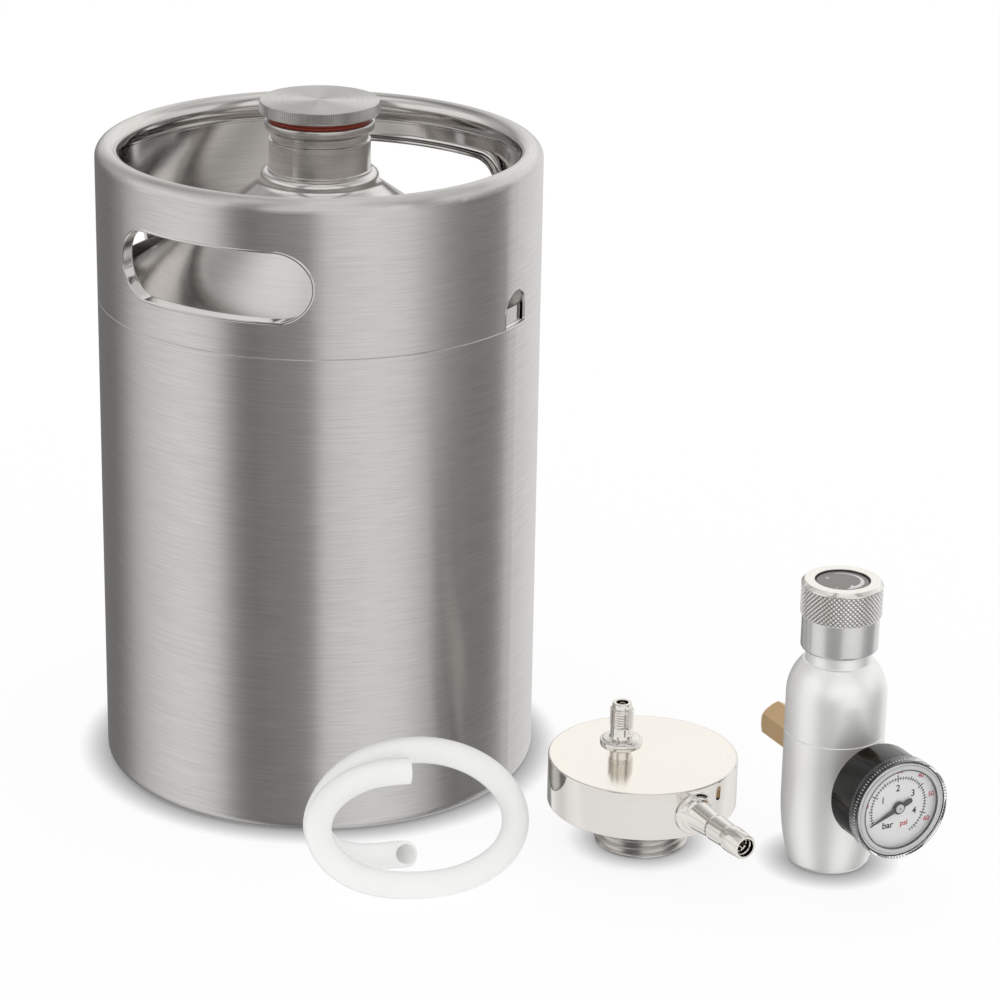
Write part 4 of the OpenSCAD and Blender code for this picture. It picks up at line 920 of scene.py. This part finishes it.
class KEG_OT_collar(bpy.types.Operator):
    """Bend and polish the edges of the collar's hand slots and drain notches, and the seams inside it"""
    bl_idname = "keg.collar"
    bl_label = "Collar edges"

    def execute(self, context):
        steel, polished = FINISHES["edge_steel"], FINISHES["lining_steel"]
        sizes = context.scene.keg_collar
        shoulder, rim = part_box("collar")[0].z / MM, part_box("collar")[1].z / MM
        # The polished skin inside the rolled rim, from its edge round to the wall
        curl = (arc(84.15, rim - 4.85, 4.93, range(112, 271, 6))
                + arc(84.15, rim - 4.85, 4.7, range(268, 111, -6)))
        fit_piece(turned("rim_lining", curl, ON_KEG, 256, closed=True), "keg", "brushed_steel", polished)
        lining = turned("wall_lining", [
            (87.9, shoulder + 7), (87.9, rim - 9), (87.7, rim - 9), (87.7, shoulder + 7)],
            ON_KEG, 256, closed=True)
        radius, half = sizes.slot_height / 2 / MM, (sizes.slot_width - sizes.slot_height) / 2 / MM
        for name, turn in (("front", 0), ("back", math.pi)):
            place = Matrix.Rotation(turn, 4, "Z") @ Matrix.Translation((0, 0, sizes.slot_centre))
            cut_opening(lining, radius + 1.3, half, 0, 60, 95, place)
            edge = opening_edge(f"slot_edge_{name}", radius, half, 0, SLOT_EDGE, place)
            fit_piece(edge, "keg", "brushed_steel", steel)
        radius = sizes.notch_width / 2 / MM
        drop = sizes.notch_height / MM - radius
        for name, turn in (("right", math.pi / 2), ("left", -math.pi / 2)):
            place = Matrix.Rotation(turn, 4, "Z") @ Matrix.Translation((0, 0, (shoulder + drop) * MM))
            cut_opening(lining, radius, 0, 20, 80, 95, place)
            edge = opening_edge(f"notch_edge_{name}", radius, 0, drop - 0.1, NOTCH_EDGE, place)
            fit_piece(edge, "keg", "brushed_steel", steel)
        fit_piece(lining, "keg", "brushed_steel", polished)
        flange = turned("shoulder_flange", [
            (86.5, shoulder + 0.4), (87.1, shoulder + 0.4), (87.1, shoulder + 7.2, 0.25),
            (86.5, shoulder + 7.2, 0.25)], ON_KEG, 192, closed=True)
        fit_piece(flange, "keg", "brushed_steel", steel)
        seam = turned("rim_seam", [
            (87.9, rim - 13.2), (87.2, rim - 13.2, 0.3), (87.2, rim - 12.2, 0.2), (87.5, rim - 11.9),
            (87.2, rim - 11.6, 0.2), (86.7, rim - 9.8, 0.4), (87.9, rim - 9.4)], ON_KEG, 192, closed=True)
        fit_piece(seam, "keg", "brushed_steel", steel)
        return {"FINISHED"}


class KEG_OT_head(bpy.types.Operator):
    """Turn the dispensing head with its thread, gas post and hose barb"""
    bl_idname = "keg.head"
    bl_label = "Dispensing head"

    def execute(self, context):
        steel = FINISHES["polished_steel"]
        low, high = 17.3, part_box("head_body")[1].z / MM
        disc = turned("head_disc", [
            (0, 15.0), (18.2, 15.0), (18.2, low), (37.5, low, 0.6), (37.5, high, 0.5), (36.7, high),
            (36.7, high - 1), (0, high - 1)], ON_HEAD, 192)
        cut(disc, 8.7, 36.3, 40, ON_BARB)
        fit_piece(disc, "head", "polished_steel", FINISHES["rolled_steel"], "head_body")
        face = turned("head_face", [(0, high - 1), (36.68, high - 1), (36.68, high), (0, high)], ON_HEAD, 192)
        fit_piece(face, "head", "polished_steel", FINISHES["faced_steel"], "head_body")
        thread = threaded("head_thread", 18.85, 17.45, context.scene.keg_cap.pitch / MM, 0, 15.0, 1.2, 0.8,
                          ON_HEAD, 96)
        cut(thread, 4, -1, 12, ON_HEAD)
        fit_piece(thread, "head", "polished_steel", FINISHES["cut_steel"], "head_body")

        post = turned("gas_post_turned", [
            (2.9, 37.0), (8.5, 37.0, 0.3), (8.5, 38.2, 0.4), (7.6, 38.4, 0.3), (7.2, 38.9, 0.3),
            (4.9, 39.3, 0.4), (4.45, 40.4, 0.6), (4.45, 43.6, 0.2), (4.15, 43.9), (4.15, 51.5),
            (4.15, 51.8, 0.1), (3.95, 52.0), (3.95, 54.0, 0.6), (2.4, 54.0, 0.2), (2.4, 52.6), (2.9, 52.0),
            (2.9, 46.4), (1.5, 45.7), (1.5, 44)], ON_POST, 96, closed=True)
        fit_piece(post, "head", "polished_steel", steel, "gas_post")
        thread = threaded("gas_post_thread", 4.865, 4.1, 1.05, 43.8, 51.7, 0.5, 0.5, ON_POST, 64)
        cut(thread, 3.4, 43, 53, ON_POST)
        fit_piece(thread, "head", "polished_steel", steel, "gas_post")

        barb = turned("hose_barb_turned", [
            (3.6, 30), (4.8, 30), (4.8, 36.3), (8.4, 36.3, 0.2), (8.4, 38.2, 0.5), (7.0, 38.5, 0.4),
            (6.7, 40.3, 0.6), (5.7, 40.8, 0.5), (4.85, 51.5, 1), (5.2, 52.9, 0.4), (4.85, 61.3, 1),
            (5.2, 63.0, 0.4), (5.2, 65.5, 0.5), (4.7, 72.1), (4.5, 72.5, 0.25), (3.6, 72.5, 0.2), (3.6, 70.5),
            (3.3, 70.1), (3.6, 69.7), (3.6, 67.9), (3.3, 67.5), (3.6, 67.1)], ON_BARB, 96, closed=True)
        fit_piece(barb, "head", "polished_steel", steel, "hose_barb")
        return {"FINISHED"}


class KEG_OT_bonnet(bpy.types.Operator):
    """Turn the regulator's bonnet with its ball shaped shoulder"""
    bl_idname = "keg.bonnet"
    bl_label = "Regulator bonnet"

    def execute(self, context):
        low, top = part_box("regulator_bonnet")[0].z / MM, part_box("regulator_bonnet")[1].z / MM
        seam = low + 4.5
        ball = arc(-0.3, seam + 15.5, 19.9, range(0, 46, 3))
        bonnet = turned("bonnet_turned", [
            (10.6, low), (14.95, low), (14.95, seam), (19.3, seam), (19.6, seam + 0.3)] + ball + [
            (12.9, seam + 29.8, 0.3), (12.8, seam + 30.3), (12.8, top), (5.05, top), (5.05, seam + 29.8),
            (10.6, seam + 29.3)], ON_REGULATOR, 192, closed=True)
        fit_piece(bonnet, "regulator", "satin_aluminium", FINISHES["satin_aluminium"], "regulator_bonnet")
        return {"FINISHED"}


class KEG_OT_knob(bpy.types.Operator):
    """Turn the pressure knob and roll its diamond knurl"""
    bl_idname = "keg.knob"
    bl_label = "Pressure knob"

    def execute(self, context):
        sizes = context.scene.keg_knob
        metal = FINISHES["turned_aluminium"]
        low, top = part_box("pressure_knob")[0].z / MM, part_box("pressure_knob")[1].z / MM
        foot, head = low + 14, low + 26.4  # The knurled band's two edges
        body = turned("knob_turned", [
            (13.3, low), (15.0, low, 1.3), (15.0, foot - 0.3, 0.15), (14.7, foot - 0.05),
            (14.95, foot + 0.25), (14.95, head - 0.3), (3.0, head - 0.3), (3.0, low + 21.9),
            (5.02, low + 21.9), (5.02, low + 17), (13.3, low + 17)], ON_REGULATOR, 160, closed=True)
        fit_piece(body, "knob", "polished_steel", metal, "pressure_knob")
        crown = turned("knob_crown", [
            (10.75, head - 0.28), (15.5, head - 0.28), (15.8, head - 0.1, 0.1), (15.8, head + 0.3, 0.3),
            (14.6, top, 0.3), (10.75, top, 0.2)], ON_REGULATOR, 160, closed=True)
        fit_piece(crown, "knob", "polished_steel", FINISHES["crown_nickel"], "pressure_knob")
        # One diamond of the knurl, a low pyramid that is copied round and up the band
        width = 2 * math.pi * 15.5 / sizes.diamonds
        deselect()
        bpy.ops.mesh.primitive_cone_add(
            vertices=4, radius1=width / 2 * MM, radius2=0.1 * width * MM, depth=0.9 * MM,
            location=(15.35 * MM, 0, (foot - width / 2) * MM), rotation=(0, math.pi / 2, 0))
        stud = context.object
        stud.name = stud.data.name = "knob_knurl"
        bpy.ops.object.transform_apply(location=True, rotation=True, scale=True)
        rows = math.ceil(2 * (head - foot) / width) + 3
        ring_of(stud, sizes.diamonds, ON_KEG, rows, (0, 0, width / 2))
        only(stud)
        bpy.ops.object.mode_set(mode="EDIT")
        for height, side in ((foot + 0.15, -1), (head - 0.15, 1)):
            bpy.ops.mesh.select_all(action="SELECT")
            bpy.ops.mesh.bisect(plane_co=(0, 0, height * MM), plane_no=(0, 0, side), clear_outer=True,
                                use_fill=True)
        bpy.ops.object.mode_set(mode="OBJECT")
        stud.data.transform(ON_REGULATOR)
        fit_piece(stud, "knob", "polished_steel", FINISHES["bright_nickel"], "pressure_knob")

        # The cup round the label is coloured near black: painted shade on the recess's wall
        cup = turned("knob_recess", [
            (0, top - 1.85), (10.73, top - 1.85), (10.73, top - 0.3), (10.5, top - 0.3), (10.4, top - 0.9),
            (0, top - 0.9)], ON_REGULATOR, 96)
        fit_piece(cup, "knob", "label_grey", FINISHES["black_aluminium"], "knob_label")
        film = turned("knob_film", [
            (0, top - 0.92), (10.1, top - 0.92), (10.1, top - 0.76, 0.06), (0, top - 0.76)], ON_REGULATOR, 96)
        fit_piece(film, "knob", "label_grey", FINISHES["label_grey"], "knob_label")
        face = (Matrix.Translation(REGULATOR_AXIS + Vector((0, 0, (top - 0.74) * MM)))
                @ Matrix.Rotation(sizes.arrow_turn, 4, "Z"))
        # The printed arrow is a flat strip bent round, that grows from a thin tail and ends in a broad head
        deselect()
        bpy.ops.mesh.primitive_grid_add(x_subdivisions=40, y_subdivisions=1, size=2 * MM)
        arrow = context.object
        arrow.name = arrow.data.name = "knob_arrow"
        for vertex in arrow.data.vertices:
            along, side = (vertex.co.x / MM + 1) / 2, vertex.co.y / MM
            turn = math.radians(112 - 190 * along)
            wide = 0.2 + 0.75 * min(along / 0.8, 1) if along < 0.85 else 1.7 * (1 - along) / 0.15
            reach = 8.3 - max(wide, 0.2) + side * wide
            vertex.co = (reach * math.cos(turn) * MM, reach * math.sin(turn) * MM, 0)
        arrow.data.transform(face)
        fit_piece(arrow, "knob", "label_grey", FINISHES["print_pale"])
        for name, words, across, up in (("more", "+", -6.0, 2.2), ("less", "-", -2.2, -7.2)):
            place = face @ Matrix.Translation((across * MM, up * MM, 0))
            flat_text(f"knob_mark_{name}", words, 2.6, place, FINISHES["print_pale"], "knob", "label_grey")
        return {"FINISHED"}


def flat_text(name, words, height, place, material, body, slot, weight=0.05):
    """Printed words as a thin raised film, centred on a place."""
    deselect()
    bpy.ops.object.text_add()
    piece = bpy.context.object
    piece.name = name
    piece.data.body = words
    piece.data.size = height / 0.7 * MM
    piece.data.extrude = 0.02 * MM
    piece.data.offset = weight * MM
    piece.data.align_x, piece.data.align_y = "CENTER", "CENTER"
    bpy.ops.object.convert(target="MESH")
    piece = bpy.context.object
    piece.data.name = name
    piece.data.transform(place)
    return fit_piece(piece, body, slot, material)


BAR_PER_PSI = 0.0689
# Marks for a tenth, a half and a whole bar: inner and outer radius and width, in mm
DIAL_MARKS = ((11.2, 12.6, 0.26), (11.1, 13.0, 0.3), (10.6, 13.4, 0.4))
WINDOW_RIBS = 100


class KEG_OT_gauge(bpy.types.Operator):
    """Form the gauge's case and window, and print its scale"""
    bl_idname = "keg.gauge"
    bl_label = "Gauge"

    def execute(self, context):
        sizes = context.scene.keg_gauge
        black, red = FINISHES["print_black"], FINISHES["print_red"]
        cup = turned("gauge_cup", [
            (4.5, 28.8), (19.2, 28.8, 1.5), (19.2, 48.85), (18.85, 48.85), (18.85, 44.0), (16.8, 44.0),
            (16.8, 30.0), (4.5, 30.0)], ON_GAUGE, 128, closed=True)
        fit_piece(cup, "regulator", "gloss_black", FINISHES["gloss_black"], "gauge_case")
        band = turned("gauge_band", [
            (18.0, 44.1), (18.8, 44.1), (18.8, 48.7, 0.3), (18.0, 48.7, 0.3)], ON_GAUGE, 128, closed=True)
        fit_piece(band, "regulator", "dial_white", FINISHES["pale_ring"], "gauge_case")
        hold = turned("dial_ring", [
            (16.0, 46.5), (17.9, 46.5), (17.9, 48.85, 0.3), (16.0, 48.85, 0.2)], ON_GAUGE, 128, closed=True)
        fit_piece(hold, "regulator", "dial_white", FINISHES["pale_ring"], "gauge_lens")
        # A thin dark grey ring round the dial's edge: painted shade, for the dark line the window's rim casts
        # and refracts onto the dial
        edge = turned("dial_painted_shade_ring", [
            (15.85, 48.1), (16.35, 48.1), (16.35, 48.93), (15.85, 48.93, 0.1)], ON_GAUGE, 128, closed=True)
        fit_piece(edge, "regulator", "needle_grey", FINISHES["needle_grey"], "gauge_lens")
        lens = turned("gauge_window", [
            (0, 48.95), (19.3, 48.95), (19.3, 44.0), (20.1, 44.0, 0.2), (20.1, 50.5, 0.8), (0, 50.5)],
            ON_GAUGE, 128)
        fit_piece(lens, "regulator", "clear_plastic", FINISHES["clear_plastic"], "gauge_lens")
        # Small ribs round the window's skirt, coloured pale and opaque: painted light, the dial seen
        # refracted through the window's edge as a row of pale dots
        deselect()
        bpy.ops.mesh.primitive_cylinder_add(vertices=6, radius=0.17 * MM, depth=0.8 * MM,
                                            location=(19.95 * MM, 0, 47.6 * MM))
        rib = context.object
        rib.name = rib.data.name = "gauge_window_ribs_painted_refraction"
        bpy.ops.object.transform_apply(location=True, rotation=True, scale=True)
        ring_of(rib, WINDOW_RIBS, ON_GAUGE)
        fit_piece(rib, "regulator", "clear_plastic", FINISHES["pale_ring"], "gauge_lens")
        cap = turned("needle_cap", [(0, 47.7), (1.75, 47.7), (1.75, 48.2, 0.2), (0, 48.2)], ON_GAUGE, 48)
        fit_piece(cap, "needle", "needle_grey", FINISHES["pale_ring"])
        pin = turned("needle_pin", [(0, 48.0), (0.32, 48.0), (0.32, 48.3, 0.1), (0, 48.3)], ON_GAUGE, 24)
        fit_piece(pin, "needle", "needle_grey", black)

        face = 46.5 + 0.03  # The middle of the print, a hair above the dial plate
        marks = []
        count = round(sizes.top_mark * 10)
        for i in range(count + 1):
            kind = 2 if i % 10 == 0 else 1 if i % 5 == 0 else 0
            turn = sizes.zero - sizes.bar_turn * i / 10
            inner, outer, width = DIAL_MARKS[kind]
            deselect()
            bpy.ops.mesh.primitive_cube_add(size=1)
            mark = context.object
            mark.scale = ((outer - inner) * MM, width * MM, 0.04 * MM)
            bpy.ops.object.transform_apply(location=True, rotation=True, scale=True)
            mark.data.transform(ON_GAUGE @ Matrix.Rotation(turn, 4, "Z")
                                @ Matrix.Translation(((outer + inner) / 2 * MM, 0, face * MM)))
            marks.append(mark)
        line = turned("dial_line", [
            (11.8, face - 0.02), (12.02, face - 0.02), (12.02, face + 0.02), (11.8, face + 0.02)],
            ON_KEG, 180, closed=True)
        only(line)
        bpy.ops.object.mode_set(mode="EDIT")
        for turn, side in ((sizes.zero, 1), (sizes.zero - sizes.bar_turn * count / 10, -1)):
            reach = Vector((math.cos(turn), math.sin(turn), 0))
            across = Vector((-reach.y, reach.x, 0)) * side
            bpy.ops.mesh.select_all(action="SELECT")
            bpy.ops.mesh.bisect(plane_co=(0, 0, 0), plane_no=across)
        bpy.ops.object.mode_set(mode="OBJECT")
        for polygon in line.data.polygons:
            turn = (sizes.zero - math.atan2(polygon.center.y, polygon.center.x)) % (2 * math.pi)
            polygon.select = turn > sizes.bar_turn * count / 10
        for part in (*line.data.edges, *line.data.vertices):
            part.select = False
        bpy.ops.object.mode_set(mode="EDIT")
        bpy.ops.mesh.delete(type="FACE")
        bpy.ops.mesh.select_all(action="DESELECT")
        bpy.ops.mesh.select_non_manifold()
        bpy.ops.mesh.fill_holes(sides=0)
        bpy.ops.object.mode_set(mode="OBJECT")
        line.data.transform(ON_GAUGE)
        marks.append(line)
        deselect()
        for mark in marks:
            mark.select_set(True)
        context.view_layer.objects.active = marks[0]
        bpy.ops.object.join()
        scale = context.object
        scale.name = scale.data.name = "dial_marks"
        fit_piece(scale, "regulator", "needle_grey", black)
        prints = [(f"bar_{bar}", str(bar), 2.7, black, 0.04, 7.9, bar) for bar in (1, 2, 3, 4)]
        prints += [(f"psi_{psi}", str(psi), 1.9, red, 0.04, 14.85, psi * BAR_PER_PSI)
                   for psi in (10, 20, 30, 40, 50, 60)]
        for name, words, height, ink, weight, reach, bar in prints:
            turn = sizes.zero - sizes.bar_turn * bar
            spot = (reach * math.cos(turn) * MM, reach * math.sin(turn) * MM, face * MM)
            flat_text(f"dial_{name}", words, height, ON_GAUGE @ Matrix.Translation(spot), ink, "regulator",
                      "needle_grey", weight)
        for words, height, ink, weight, across, up in (
                ("bar", 2.6, black, 0.07, -4.2, -6.8), ("psi", 2.2, red, 0.06, 3.0, -7.0)):
            place = ON_GAUGE @ Matrix.Translation((across * MM, up * MM, face * MM))
            flat_text(f"dial_word_{words}", words, height, place, ink, "regulator", "needle_grey", weight)
        return {"FINISHED"}


class KEG_OT_finishes(bpy.types.Operator):
    """Mix the finishes and give every CAD node its own"""
    bl_idname = "keg.finishes"
    bl_label = "Finishes"

    def execute(self, context):
        make_finishes(context.scene.keg_colours)
        dress_cad_nodes()
        return {"FINISHED"}


class KEG_PT_panel(bpy.types.Panel):
    """The steps that build the dispenser, in order"""
    bl_label = "Mini Keg"
    bl_idname = "KEG_PT_panel"
    bl_space_type = "VIEW_3D"
    bl_region_type = "UI"
    bl_category = "Mini Keg"

    def draw(self, context):
        for operator in OPERATORS:
            self.layout.operator(operator.bl_idname)


GROUPS = {"keg_camera": KEG_PG_camera, "keg_colours": KEG_PG_colours, "keg_hose": KEG_PG_hose,
          "keg_cap": KEG_PG_cap, "keg_collar": KEG_PG_collar, "keg_knob": KEG_PG_knob,
          "keg_gauge": KEG_PG_gauge}
OPERATORS = (KEG_OT_camera, KEG_OT_finishes, KEG_OT_hose, KEG_OT_cap, KEG_OT_collar, KEG_OT_head,
             KEG_OT_bonnet, KEG_OT_knob, KEG_OT_gauge, KEG_OT_stage)


def register():
    for group in GROUPS.values():
        bpy.utils.register_class(group)
    for name, group in GROUPS.items():
        setattr(bpy.types.Scene, name, PointerProperty(type=group))
    for operator in OPERATORS:
        bpy.utils.register_class(operator)
    bpy.utils.register_class(KEG_PT_panel)


def unregister():
    bpy.utils.unregister_class(KEG_PT_panel)
    for operator in reversed(OPERATORS):
        bpy.utils.unregister_class(operator)
    for name, group in GROUPS.items():
        delattr(bpy.types.Scene, name)
        bpy.utils.unregister_class(group)


def main():
    register()
    for operator in OPERATORS:
        group, name = operator.bl_idname.split(".")
        getattr(getattr(bpy.ops, group), name)()


if __name__ == "__main__":
    main()
